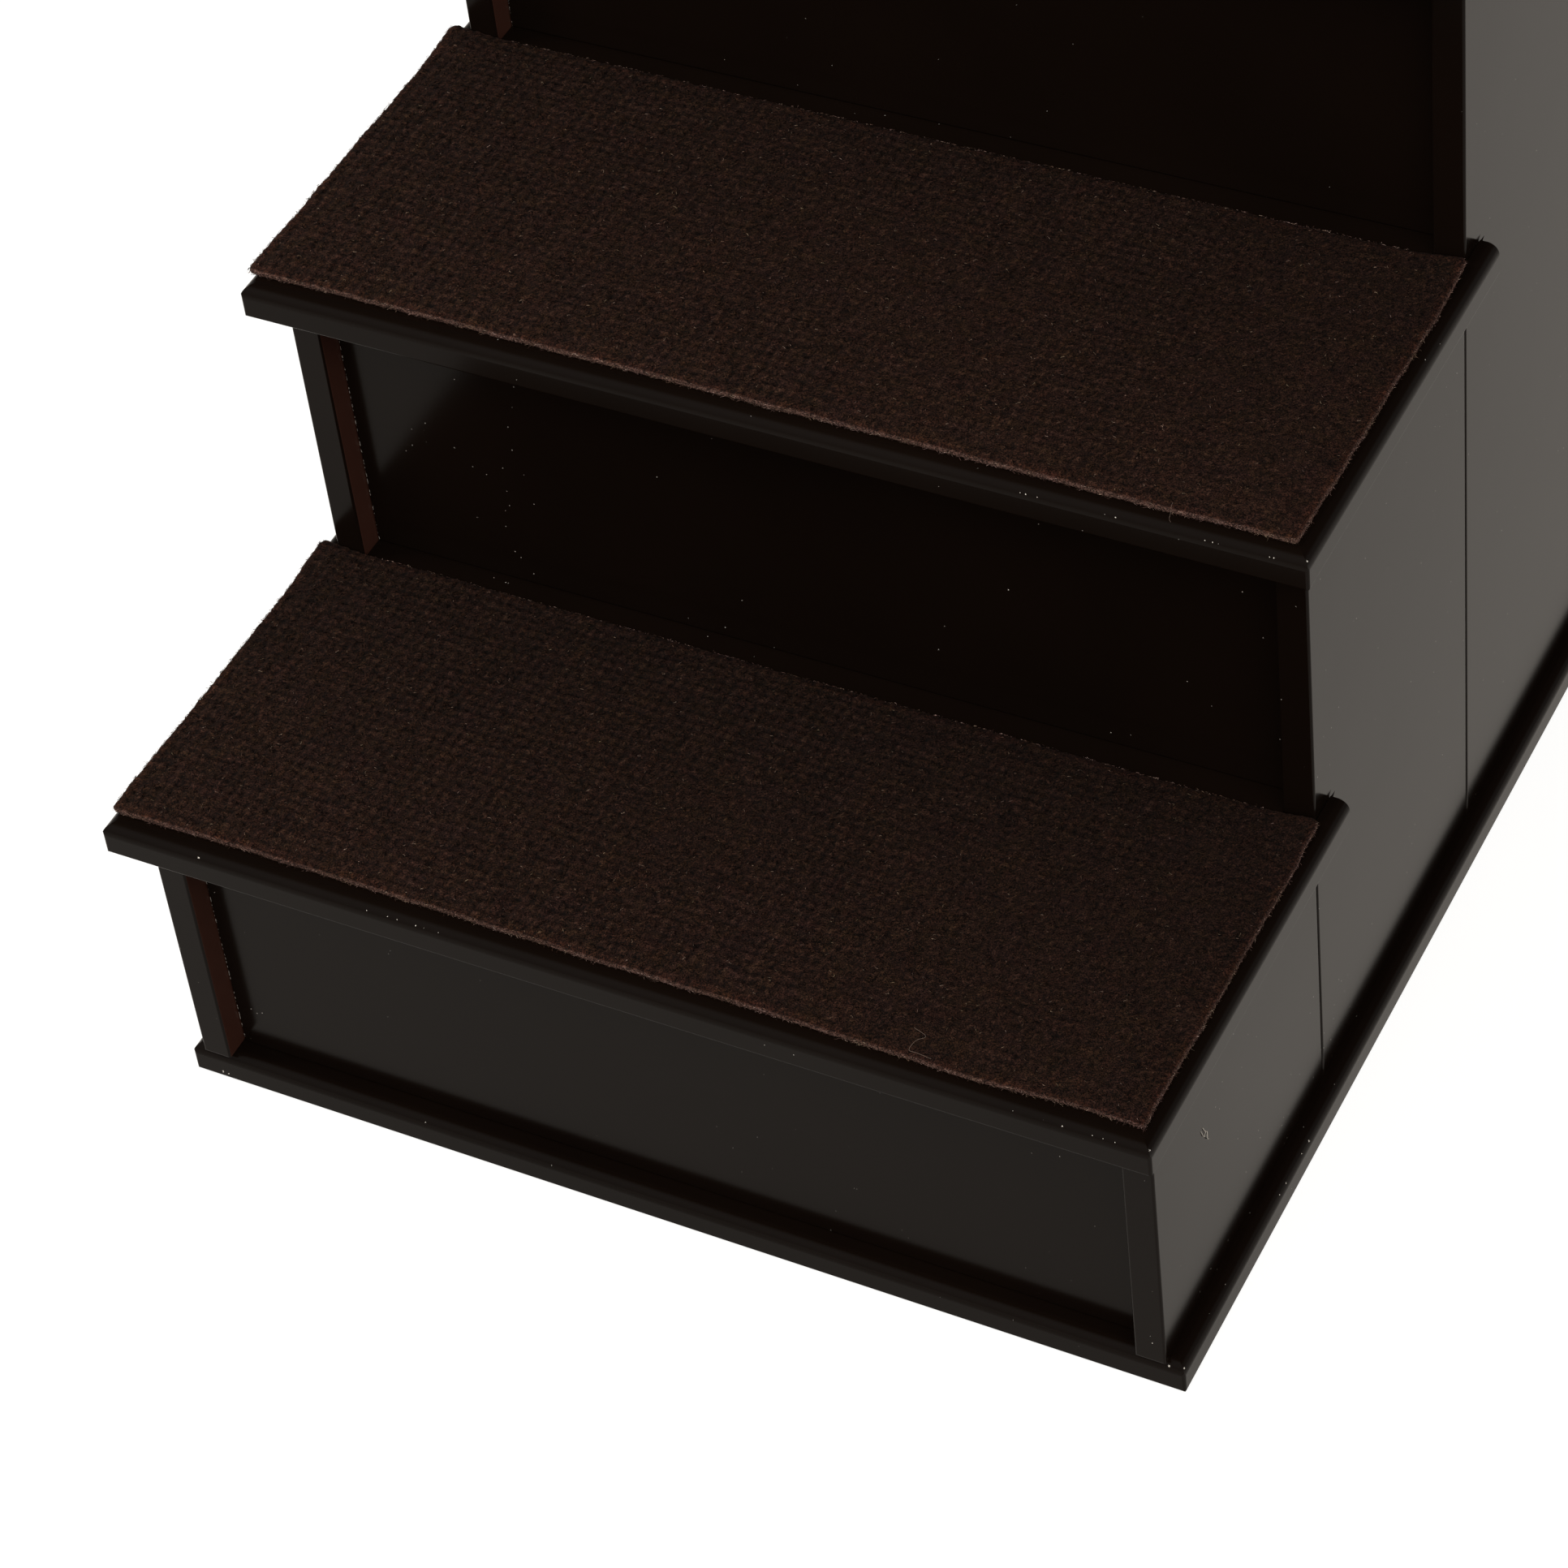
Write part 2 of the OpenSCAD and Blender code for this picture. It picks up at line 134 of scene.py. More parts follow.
def new_finish(name):
    """A new material, its tree of nodes, its shader, and the place on the part in metres"""
    finish = bpy.data.materials.new(name)
    finish.use_nodes = True
    tree = finish.node_tree
    where = add_node(tree, "TexCoord").outputs["Object"]
    return finish, tree, tree.nodes["Principled BSDF"], where


def roughen(tree, shader, pattern, least, most):
    """Ties the roughness to a pattern"""
    rough = rescale(tree, pattern, NOISE_LOW, NOISE_HIGH, least, most)
    tree.links.new(rough, shader.inputs["Roughness"])


def surface(tree, shader, tone, pattern, rough, depth=0.0, strength=1.0):
    """Joins up a finish: its colour, and a pattern that shows in its roughness and as relief, in metres"""
    tree.links.new(tone, shader.inputs["Base Color"])
    roughen(tree, shader, pattern, *rough)
    if depth > 0:
        bump = add_node(tree, "Bump", {"Height": pattern, "Distance": depth, "Strength": strength})
        tree.links.new(bump.outputs[0], shader.inputs["Normal"])


def speckled_finish(name, tones, scale, detail, rough, depth=0.0, strength=1.0):
    """A finish whose colour, roughness and relief all follow one noise"""
    finish, tree, shader, where = new_finish(name)
    specks = noise(tree, where, scale, detail)
    surface(tree, shader, colour_mix(tree, specks, *tones), specks, rough, depth, strength)
    return finish


print("node helpers ready")

# %% [markdown]
# ## Floor
# Around the stairs there is no floor to speak of, only pure white. A white floor could be had by
# pouring light on it, but that would wash out the dark boards too. So the floor is matt and keeps a soft
# shadow, and it has a glow that only the camera and shiny surfaces see. The glossy boards mirror that pale
# floor, which is what gives their upright faces a warm grey, so the glow they see is a little warm. In front
# of the stairs the glow they see is dimmed as a painted shade, standing for the stairs' own shadow there.

# %% Floor
FLOOR_HALF = 20.0
FLOOR_TONE = (0.36, 0.355, 0.345)
FLOOR_ROUGHNESS = 0.9
GLOW_SEEN = (0.80, 0.80, 0.80)
GLOW_MIRRORED = (0.62, 0.565, 0.505)
SHADE_LEFT = 0.68
SHADE_MIDDLE, SHADE_HALF = (0.0, -0.215, 0.0), (0.9, 0.15, 1.0)

floor_mesh = bpy.data.meshes.new("floor")
corners = [(-FLOOR_HALF, -FLOOR_HALF, 0), (FLOOR_HALF, -FLOOR_HALF, 0), (FLOOR_HALF, FLOOR_HALF, 0)]
floor_mesh.from_pydata([*corners, (-FLOOR_HALF, FLOOR_HALF, 0)], [], [(0, 1, 2, 3)])
floor = bpy.data.objects.new("floor", floor_mesh)
add_to_scene(floor)

floor_finish, tree, shader, where = new_finish("white_floor")
shader.inputs["Base Color"].default_value = (*FLOOR_TONE, 1)
shader.inputs["Roughness"].default_value = FLOOR_ROUGHNESS
shader.inputs["Specular IOR Level"].default_value = 0.0
rays = add_node(tree, "LightPath").outputs
mirrored = maths(tree, "MAXIMUM", rays["Is Glossy Ray"], rays["Is Transmission Ray"])
tree.links.new(colour_mix(tree, mirrored, GLOW_SEEN, GLOW_MIRRORED), shader.inputs["Emission Color"])
# Painted shade: the glow that shiny surfaces see is dimmed within an oval in front of the stairs
away = vector(tree, "DIVIDE", vector(tree, "SUBTRACT", where, SHADE_MIDDLE)[0], SHADE_HALF)[0]
shaded = rescale(tree, vector(tree, "LENGTH", away)["Value"], 0.0, 1.0, SHADE_LEFT, 1.0)
mirrored = maths(tree, "MULTIPLY", mirrored, shaded)
seen = maths(tree, "MAXIMUM", rays["Is Camera Ray"], mirrored)
tree.links.new(seen, shader.inputs["Emission Strength"])
floor_mesh.materials.append(floor_finish)
print("floor", 2 * FLOOR_HALF, "m wide")

# %% [markdown]
# ## Light
# The carpet's tufts cast their small shadows to the right, so the main light is a large soft panel to the
# left of the stairs. A weaker one at the right lights the mats' right edges, and one high in front and a room
# fill the rest, at a level where a colour comes out about as it is written. The room is pale in front, where
# the boards' round front edges mirror it, half as pale round the horizon, and almost dark overhead and above
# the back, so that the top faces that mirror it stay dark.

# %% Light
ROOM_TONE = (1.0, 0.98, 0.95)
ROOM_LOW, ROOM_HIGH, ROOM_FRONT = 0.42, 0.05, 0.86
PALE_BELOW, DIM_ABOVE = 0.36, 0.52
FRONT_FROM, FRONT_FULL = 0.10, 0.50
FRONT_AT_HORIZON, FRONT_RISE = 0.68, (0.05, 0.50)
LAMP_TONE = (1.0, 0.97, 0.92)
MIDDLE = (0.0, 0.0, 0.2)


def soft_panel(name, at, towards, side, watts):
    light = bpy.data.lights.new(name, "AREA")
    light.shape, light.size, light.energy = "SQUARE", side, watts
    light.color = LAMP_TONE
    panel = bpy.data.objects.new(name, light)
    add_to_scene(panel)
    way = Vector(towards) - Vector(at)
    panel.matrix_world = Matrix.Translation(at) @ way.to_track_quat("-Z", "Y").to_matrix().to_4x4()
    return panel


room = bpy.data.worlds.new("pale_room")
room.use_nodes = True
air = room.node_tree
air.nodes["Background"].inputs["Color"].default_value = (*ROOM_TONE, 1)
way = split(air, add_node(air, "TexCoord").outputs["Generated"])
level = rescale(air, way[2], PALE_BELOW, DIM_ABOVE, ROOM_LOW, ROOM_HIGH)
front = rescale(air, way[1], -FRONT_FROM, -FRONT_FULL, ROOM_HIGH, ROOM_FRONT)
front = maths(air, "MULTIPLY", front, rescale(air, way[2], *FRONT_RISE, FRONT_AT_HORIZON, 1.0))
level = maths(air, "MAXIMUM", level, front)
air.links.new(level, air.nodes["Background"].inputs["Strength"])
bpy.context.scene.world = room
soft_panel("left_panel", (-1.8, -0.45, 1.3), MIDDLE, 0.9, 25)
soft_panel("right_panel", (1.5, -0.75, 1.45), MIDDLE, 1.0, 12)
soft_panel("front_panel", (0.7, -1.7, 2.0), MIDDLE, 1.4, 22)
print("room level", ROOM_LOW, "at the horizon,", ROOM_HIGH, "overhead,", ROOM_FRONT, "in front")

# %% [markdown]
# ## Dust and chips
# Dark gloss shows every speck. A scatter of dust could be thousands of tiny flakes, but specks a quarter of
# a millimetre wide are cheaper as a Voronoi pattern: each cell holds one point, and a cell shows its speck
# only where its random number passes a limit. A slow noise lifts and lowers that limit, so the specks
# gather in drifts. Chips and the larger crumbs are small balls of space around given places in mm, with
# ragged edges from a noise.

# %% Dust and chips
DUST_CELLS = 900.0
DUST_TONE = (0.34, 0.32, 0.29)
DUST_LIMIT = (0.9985, 0.982)  # in clean places and in drifts
DUST_DRIFTS, DRIFT_FROM, DRIFT_FULL = 13.0, 0.52, 0.72
SPECK_R = (0.06, 0.21)  # in cells
CHIP_TONE = (0.66, 0.61, 0.55)
CHIP_RAGS = 2600.0
RAG_FROM, RAG_FULL, RAG_LEAST, RAG_MOST = 0.35, 0.65, 0.2, 1.4


def dust_mask(tree, where):
    cells = add_node(tree, "TexVoronoi", {"Vector": where, "Scale": DUST_CELLS}).outputs
    drawn = add_node(tree, "SeparateColor", {0: cells["Color"]}).outputs
    drifts = rescale(tree, noise(tree, where, DUST_DRIFTS), DRIFT_FROM, DRIFT_FULL)
    chosen = maths(tree, "GREATER_THAN", drawn[0], rescale(tree, drifts, 0.0, 1.0, *DUST_LIMIT))
    radius = rescale(tree, drawn[1], 0.0, 1.0, *SPECK_R)
    return maths(tree, "MULTIPLY", chosen, maths(tree, "LESS_THAN", cells["Distance"], radius))


def chip_mask(tree, where, places):
    """1 inside ragged balls around places, each x, y, z and radius in mm"""
    ragged = rescale(tree, noise(tree, where, CHIP_RAGS), RAG_FROM, RAG_FULL, RAG_LEAST, RAG_MOST)
    mask = None
    for x, y, z, radius in places:
        far = vector(tree, "DISTANCE", where, (x * MM, y * MM, z * MM))["Value"]
        spot = maths(tree, "LESS_THAN", far, maths(tree, "MULTIPLY", ragged, radius * MM))
        mask = spot if mask is None else maths(tree, "MAXIMUM", mask, spot)
    return mask


print("dust cells per metre:", DUST_CELLS)

# %% [markdown]
# ## Espresso paint
# The boards are wood-based panels with a dark brown lacquer. Its gloss is a thin clear layer: at a steep
# look it mirrors little, and at a grazing look the side boards turn pale grey. A coat of its own weight and
# refraction gives both, where the plain specular layer would be too strong on one and too weak on the other.
# A fine bump stands for the roller's stipple, and a slow one for the panel's own waves. The faces of the side
# boards that look inwards are redder, as only stain reached them, and the risers' ends are rubbed pale.

# %% Espresso paint
PAINT_DARK = (0.0035, 0.0020, 0.0013)
PAINT_WARM = (0.0059, 0.0033, 0.0022)
STAIN = (0.043, 0.0168, 0.0115)
STAIN_WIPED = [0.72 * c for c in STAIN]
PAINT_CLOUDS, STAIN_STREAKS = 11.0, 60.0
LOOKS_INWARD = -0.9
WORN_FROM = 187.1 * MM
WORN_SPOTS, WORN_ABOVE = 900.0, 0.56
COAT_WEIGHT = 0.95
COAT_IOR = 1.167
COAT_ROUGHNESS = 0.17
UNDERCOAT_ROUGHNESS = (0.42, 0.55)
STIPPLE, STIPPLE_DEPTH = 1400.0, 0.000004
WAVES, WAVE_DEPTH = 22.0, 0.00006


def paint_finish(name, chips=(), stained=False, worn=False, dusty=True):
    """Lacquer, with chips at places in mm, a red stain on faces that look inwards, or worn board ends"""
    finish, tree, shader, where = new_finish(name)
    tone = colour_mix(tree, noise(tree, where, PAINT_CLOUDS, 4.0), PAINT_DARK, PAINT_WARM)
    x = split(tree, where)[0]
    if stained:
        facing_x = split(tree, add_node(tree, "NewGeometry").outputs["True Normal"])[0]
        inward = maths(tree, "MULTIPLY", facing_x, maths(tree, "SIGN", x))
        streaks = colour_mix(tree, noise(tree, where, STAIN_STREAKS, 3.0), STAIN, STAIN_WIPED)
        tone = colour_mix(tree, maths(tree, "LESS_THAN", inward, LOOKS_INWARD), tone, streaks)
    if worn:
        at_end = maths(tree, "GREATER_THAN", maths(tree, "ABSOLUTE", x), WORN_FROM)
        broken = maths(tree, "GREATER_THAN", noise(tree, where, WORN_SPOTS, 1.0), WORN_ABOVE)
        tone = colour_mix(tree, maths(tree, "MULTIPLY", at_end, broken), tone, CHIP_TONE)
    if chips:
        tone = colour_mix(tree, chip_mask(tree, where, chips), tone, CHIP_TONE)
    if dusty:
        tone = colour_mix(tree, dust_mask(tree, where), tone, DUST_TONE)
    tree.links.new(tone, shader.inputs["Base Color"])
    stipple, waves = noise(tree, where, STIPPLE, 1.0), noise(tree, where, WAVES, 1.0)
    fine = add_node(tree, "Bump", {"Height": stipple, "Distance": STIPPLE_DEPTH, "Strength": 1.0})
    bump = add_node(tree, "Bump", {"Height": waves, "Distance": WAVE_DEPTH, "Normal": fine.outputs[0]})
    for socket in ("Normal", "Coat Normal"):
        tree.links.new(bump.outputs[0], shader.inputs[socket])
    roughen(tree, shader, waves, *UNDERCOAT_ROUGHNESS)
    shader.inputs["Specular IOR Level"].default_value = 0.0
    shader.inputs["Coat Weight"].default_value = COAT_WEIGHT
    shader.inputs["Coat IOR"].default_value = COAT_IOR
    shader.inputs["Coat Roughness"].default_value = COAT_ROUGHNESS
    return finish


print("coat mirrors", round(((COAT_IOR - 1) / (COAT_IOR + 1)) ** 2, 4), "of the light straight on")

# %% [markdown]
# ## Places of crumbs and chipped corners
# The drifts of dust are random, but the chipped corners and the larger crumbs each have a place of their own,
# written as x, y, z and radius in mm. A crumb on a round front edge is found by its x and by how far down the
# rounding it lies, as an angle from the top face.

# %% Crumbs and chipped corners
EDGE_R = 4.8
CRUMB_R, BIG_CRUMB_R = 0.17, 0.30
CRUMBS_ON_LIP_1 = (-103.5, -95.4, -86.9, -82.9, -75.2, -71.9, -65.9, 157.0, 168.3, 175.2, 186.1, 190.0, 194.3)
BIG_CRUMBS_ON_LIP_1 = (-75.2, 175.2)
CRUMBS_ON_LIP_2 = (102.9, 104.9, 109.2, 134.1, 138.0, 170.4, 173.2, 175.3, 193.6, 195.1)


def on_edge(board, x, tilt, radius):
    """A place on a board's round front edge, tilt degrees from its top face"""
    low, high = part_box(board)
    t = math.radians(tilt)
    return x, low[1] / MM + EDGE_R * (1 - math.sin(t)), high[2] / MM + EDGE_R * (math.cos(t) - 1), radius


TREAD_CHIPS = [
    on_edge("tread_1", -166.1, 53, 0.35),
    (206.5, -230.4, 148.13, 0.38),
    (206.4, -85.3, 288.27, 0.36),
]
for x in CRUMBS_ON_LIP_1:
    TREAD_CHIPS.append(on_edge("tread_1", x, 54.8, BIG_CRUMB_R if x in BIG_CRUMBS_ON_LIP_1 else CRUMB_R))
for x in CRUMBS_ON_LIP_2:
    TREAD_CHIPS.append(on_edge("tread_2", x, 63.3, CRUMB_R))
BASE_CHIPS = [
    on_edge("base_board", 200.2, 57.3, 0.36),
    on_edge("base_board", -103.3, 57.3, 0.2),
    (205.6, -213.4, 12.37, 0.36),
    (205.83, -127.2, 12.03, 0.25),
    (205.83, -121.2, 12.04, 0.25),
    (205.75, -106.2, 12.18, 0.3),
    (205.85, -99.5, 12.0, 0.36),
    (-194.3, -215.25, 3.7, 0.5),
    (-191.9, -215.25, 3.3, 0.35),
]
SIDE_CHIPS = [(195.3, -216.2, 24.8, 0.28), (194.6, -216.2, 28.4, 0.2)]
RISER_CRUMBS = [
    (159.8, -206.3, 98.6, 0.22),
    (-184.5, -206.3, 98.3, 0.19),
    (-174.9, -206.3, 80.4, 0.17),
    (-180.8, -206.3, 35.6, 0.19),
    (-178.5, -206.3, 34.0, 0.19),
    (-175.9, -206.3, 35.2, 0.19),
    (171.5, -61.3, 241.9, 0.17),
    (178.5, -61.3, 222.7, 0.19),
    (81.5, -61.3, 213.2, 0.19),
]
print("chips and crumbs:", sum(map(len, (TREAD_CHIPS, BASE_CHIPS, SIDE_CHIPS, RISER_CRUMBS))))

# %% [markdown]
# ## Painted boards
# The CAD boards already have the right shape, with eased edges, so they stay and only take a finish. Each
# kind of board has its own, because its chips, its stain or its worn ends belong to that kind alone.

# %% Painted boards
SIDES = ("left", "right")
STEPS = (1, 2, 3)


def dress(names, finish):
    """Gives a finish to CAD nodes whose shape stays as it is"""
    for name in names:
        node = bpy.data.objects[name]
        if not node.material_slots:
            node.data.materials.append(finish)
        for slot in node.material_slots:
            slot.material = finish
    print(finish.name, "on", len(names), "nodes")


dress(["base_board"], paint_finish("espresso_base", chips=BASE_CHIPS))
dress([f"tread_{n}" for n in STEPS], paint_finish("espresso_treads", chips=TREAD_CHIPS))
side_paint = paint_finish("espresso_sides", chips=SIDE_CHIPS, stained=True)
dress([f"side_board_{n}_{s}" for n in STEPS for s in SIDES], side_paint)
dress([f"riser_{n}" for n in STEPS], paint_finish("espresso_risers", chips=RISER_CRUMBS, worn=True))
dress(["back_panel"], paint_finish("espresso_back"))

# %% [markdown]
# ## Wood, metal and rubber inside
# The battens are planed pine, the dowels are fluted beech, and the fittings are zinc-plated steel. All sit
# out of sight until the stairs come apart, but each gets its grain or brushing. Wood is stretched noise: the
# same noise, squeezed across the grain and drawn out along it, reads as fibres.

# %% Wood, metal and rubber
ACROSS_FIBRES, ALONG_FIBRES = 90.0, 6.0
ACROSS_RINGS, ALONG_RINGS = 9.0, 1.0
RINGS, RING_BEND = 38.0, 5.0
SPANGLES, RUBS = 900.0, 500.0


def grain_finish(name, pale, deep, along):
    """Wood whose fibres run along one axis: 0, 1 or 2"""
    finish, tree, shader, where = new_finish(name)

    def stretched(lengthways, across):
        scale = [lengthways if k == along else across for k in range(3)]
        return add_node(tree, "Mapping", {"Vector": where, "Scale": scale}).outputs[0]

    fibres = noise(tree, stretched(ALONG_FIBRES, ACROSS_FIBRES), 3.0, 6.0)
    rings = {"Vector": stretched(ALONG_RINGS, ACROSS_RINGS), "Scale": RINGS / ACROSS_RINGS}
    ring = add_node(tree, "TexWave", {**rings, "Distortion": RING_BEND}).outputs["Fac"]
    dark_fibres = rescale(tree, fibres, 0.35, 0.75, 0.0, 0.6)
    tone = colour_mix(tree, dark_fibres, colour_mix(tree, ring, pale, deep), [0.7 * c for c in deep])
    surface(tree, shader, tone, fibres, (0.55, 0.75), depth=0.00008, strength=0.6)
    return finish


def zinc_finish(name, tone, spangle):
    finish, tree, shader, where = new_finish(name)
    cells = add_node(tree, "TexVoronoi", {"Vector": where, "Scale": SPANGLES}).outputs["Color"]
    grey = add_node(tree, "SeparateColor", {0: cells}).outputs[0]
    rubbed = noise(tree, where, RUBS, 3.0)
    tone = colour_mix(tree, grey, tone, spangle)
    surface(tree, shader, tone, rubbed, (0.26, 0.42), depth=0.00002, strength=0.5)
    shader.inputs["Metallic"].default_value = 1.0
    return finish


BEARERS = [f"tread_bearer_{n}_{s}" for n in STEPS for s in SIDES]
CLEATS = [f"rear_cleat_{s}" for s in SIDES]
PADS = [f"foot_pad_{row}_{s}" for row in ("front", "middle", "back") for s in SIDES]
SCREWS = ["base_screws", "riser_screws", "bearer_screws", "cleat_screws", "back_screws"]
PINE = (0.56, 0.36, 0.17), (0.36, 0.19, 0.075)
RUBBER_TONES = (0.012, 0.012, 0.012), (0.03, 0.029, 0.028)
dress(BEARERS, grain_finish("pine_lengthways", *PINE, along=1))
dress(CLEATS, grain_finish("pine_upright", *PINE, along=2))
dress(["dowels"], grain_finish("beech", (0.50, 0.30, 0.16), (0.38, 0.20, 0.10), along=0))
dress(["cam_locks"], zinc_finish("die_cast_zinc", (0.50, 0.50, 0.50), (0.62, 0.62, 0.63)))
dress(["cam_bolts"] + SCREWS, zinc_finish("plated_steel", (0.58, 0.57, 0.53), (0.72, 0.71, 0.66)))
dress(PADS, speckled_finish("foot_rubber", RUBBER_TONES, 1300.0, 3.0, (0.7, 0.9), 0.0001, 0.5))

# %% [markdown]
# ## Meshes from arrays
# Carpet needs tens of thousands of small shapes. Adding them one by one would be slow, so each kind is worked
# out for all its members at once as one array of points and one of faces, and goes into a mesh in one step.

# %% Pieces from arrays
def piece_from_arrays(name, points_mm, faces, finishes, body, face_finish=None, marks=()):
    """Makes a smooth piece from points in mm, with named values at its points, and puts it on a body"""
    mesh = bpy.data.meshes.new(name)
    mesh.from_pydata((np.asarray(points_mm) * MM).tolist(), [], faces)
    for finish in finishes:
        mesh.materials.append(finish)
    if face_finish is not None:
        mesh.polygons.foreach_set("material_index", np.asarray(face_finish, np.int32))
    mesh.polygons.foreach_set("use_smooth", np.ones(len(mesh.polygons), bool))
    for mark, values in dict(marks).items():
        mesh.attributes.new(mark, "FLOAT", "POINT").data.foreach_set("value", np.asarray(values, np.float32))
    mesh.update()
    piece = bpy.data.objects.new(name, mesh)
    add_to_scene(piece)
    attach(piece, body)
    triangles = sum(len(face) - 2 for face in faces)
    print(name, len(points_mm), "points,", triangles, "triangles")
    return piece


def grid_faces(shape):
    """The squares of a grid of points, and the loop of points round its rim"""
    index = np.arange(shape[0] * shape[1]).reshape(shape)
    corners = [index[:-1, :-1], index[1:, :-1], index[1:, 1:], index[:-1, 1:]]
    loop = np.concatenate([index[:-1, 0], index[-1, :-1], index[:0:-1, -1], index[0, :0:-1]])
    return np.stack(corners, axis=-1).reshape(-1, 4).tolist(), loop


print("a grid of 3 by 4 points has", len(grid_faces((3, 4))[0]), "squares")

# %% [markdown]
# ## Fibres as spindles
# Yarn ends, fuzz, hooks and hairs are all thin and bent. A curve with a bevel would make each one, but not
# twenty thousand of them in a second. A spindle is lighter: rings of three points round the middle of a path,
# and a single point at each end. All spindles of a kind share their pattern of faces.

# %% Spindles
def spindles(paths, radii, ring=3):
    """Closed thin shapes along many paths at once: paths is (count, points, 3), pointed at both ends"""
    count, steps = paths.shape[:2]
    ahead = np.gradient(paths, axis=1)
    ahead /= np.linalg.norm(ahead, axis=2, keepdims=True) + 1e-9
    across = np.cross(ahead, [0.0, 0.0, 1.0])
    across += np.where(np.linalg.norm(across, axis=2, keepdims=True) < 1e-3, [1.0, 0.0, 0.0], 0.0)
    across /= np.linalg.norm(across, axis=2, keepdims=True)
    up = np.cross(across, ahead)
    turn = np.arange(ring) * 2 * math.pi / ring + math.pi / 2
    rings = (
        paths[:, 1:-1, None]
        + radii[:, 1:-1, None, None] * np.cos(turn)[:, None] * across[:, 1:-1, None]
        + radii[:, 1:-1, None, None] * np.sin(turn)[:, None] * up[:, 1:-1, None]
    )
    points = np.concatenate([paths[:, :1], rings.reshape(count, -1, 3), paths[:, -1:]], axis=1)
    last = (steps - 2) * ring + 1
    faces = [[0, 1 + (k + 1) % ring, 1 + k] for k in range(ring)]
    for s in range(steps - 3):
        low = 1 + s * ring
        for k in range(ring):
            n = (k + 1) % ring
            faces.append([low + k, low + n, low + ring + n, low + ring + k])
    faces += [[last - ring + k, last - ring + (k + 1) % ring, last] for k in range(ring)]
    starts = (np.arange(count) * (last + 1)).tolist()
    all_faces = [[v + start for v in face] for start in starts for face in faces]
    return points.reshape(-1, 3), all_faces, last + 1


def turned(along, aside, way):
    """Steps along and aside of a heading, as steps in x and y"""
    cos, sin = np.cos(way)[:, None], np.sin(way)[:, None]
    return along * cos - aside * sin, along * sin + aside * cos


print("one spindle of four points has", len(spindles(np.eye(4, 3)[None], np.ones((1, 4)))[1]), "faces")

# %% [markdown]
# ## Smooth chance
# Nothing on an old carpet is even, and nothing on it jumps either. A table of random numbers, blended
# between its cells, gives slow waves and patches of any size, and its seed makes each run give the same.

# %% Drift
TABLE_SIDE, TABLE_START = 97, 40


def smooth_step(x):
    x = np.clip(x, 0, 1)
    return x * x * (3 - 2 * x)


def drift(x, y, cell, seed):
    """Smooth random values from -1 to 1 that change over about one cell, in mm"""
    table = np.random.default_rng(seed).uniform(-1, 1, (TABLE_SIDE, TABLE_SIDE))
    u, v = np.asarray(x) / cell + TABLE_START, np.asarray(y) / cell + TABLE_START
    i, j = np.floor(u).astype(int), np.floor(v).astype(int)
    s, t = smooth_step(u - i), smooth_step(v - j)
    at = lambda a, b: table[(i + a) % TABLE_SIDE, (j + b) % TABLE_SIDE]
    low = at(0, 0) * (1 - s) + at(1, 0) * s
    return low * (1 - t) + (at(0, 1) * (1 - s) + at(1, 1) * s) * t


print("drift over 30 mm:", drift(np.arange(0, 31, 10), 0.0, 20.0, 1).round(2))

# %% [markdown]
# ## The carpet's tufts
# The mats are cut from a dark brown low-pile carpet. Its tufts stand in rows 4.3 mm apart, each a small dome
# with a dark gap beside it. The surface is a fine grid of points whose height comes from the nearest tufts,
# so that the light falls on real domes. Even rows would look like a waffle iron, so each tuft stands a bit
# off its place, some are trodden flat, and the whole pattern is bent by a smooth random field. A slight rise
# and fall along the rows and columns keeps them readable, more at the left, where fewer feet have trodden.

# %% Tufts
MAT_W, MAT_D, MAT_TURN = 409.0, 152.2, math.radians(-0.336)
TUFT_PITCH = 4.3
TUFT_RADIUS = (2.75, 2.35)
TUFT_OFF = (0.45, 0.40)  # how far a tuft stands off its place in x and in y
TUFT_HEIGHTS, TUFT_SIZES = (0.65, 1.0), (0.8, 1.12)
FLATTENED, FLAT_HEIGHT = 0.08, 0.5
TUFT_BEND, BEND_OVER = 0.6, 2.3
SPARE_TUFTS = 4


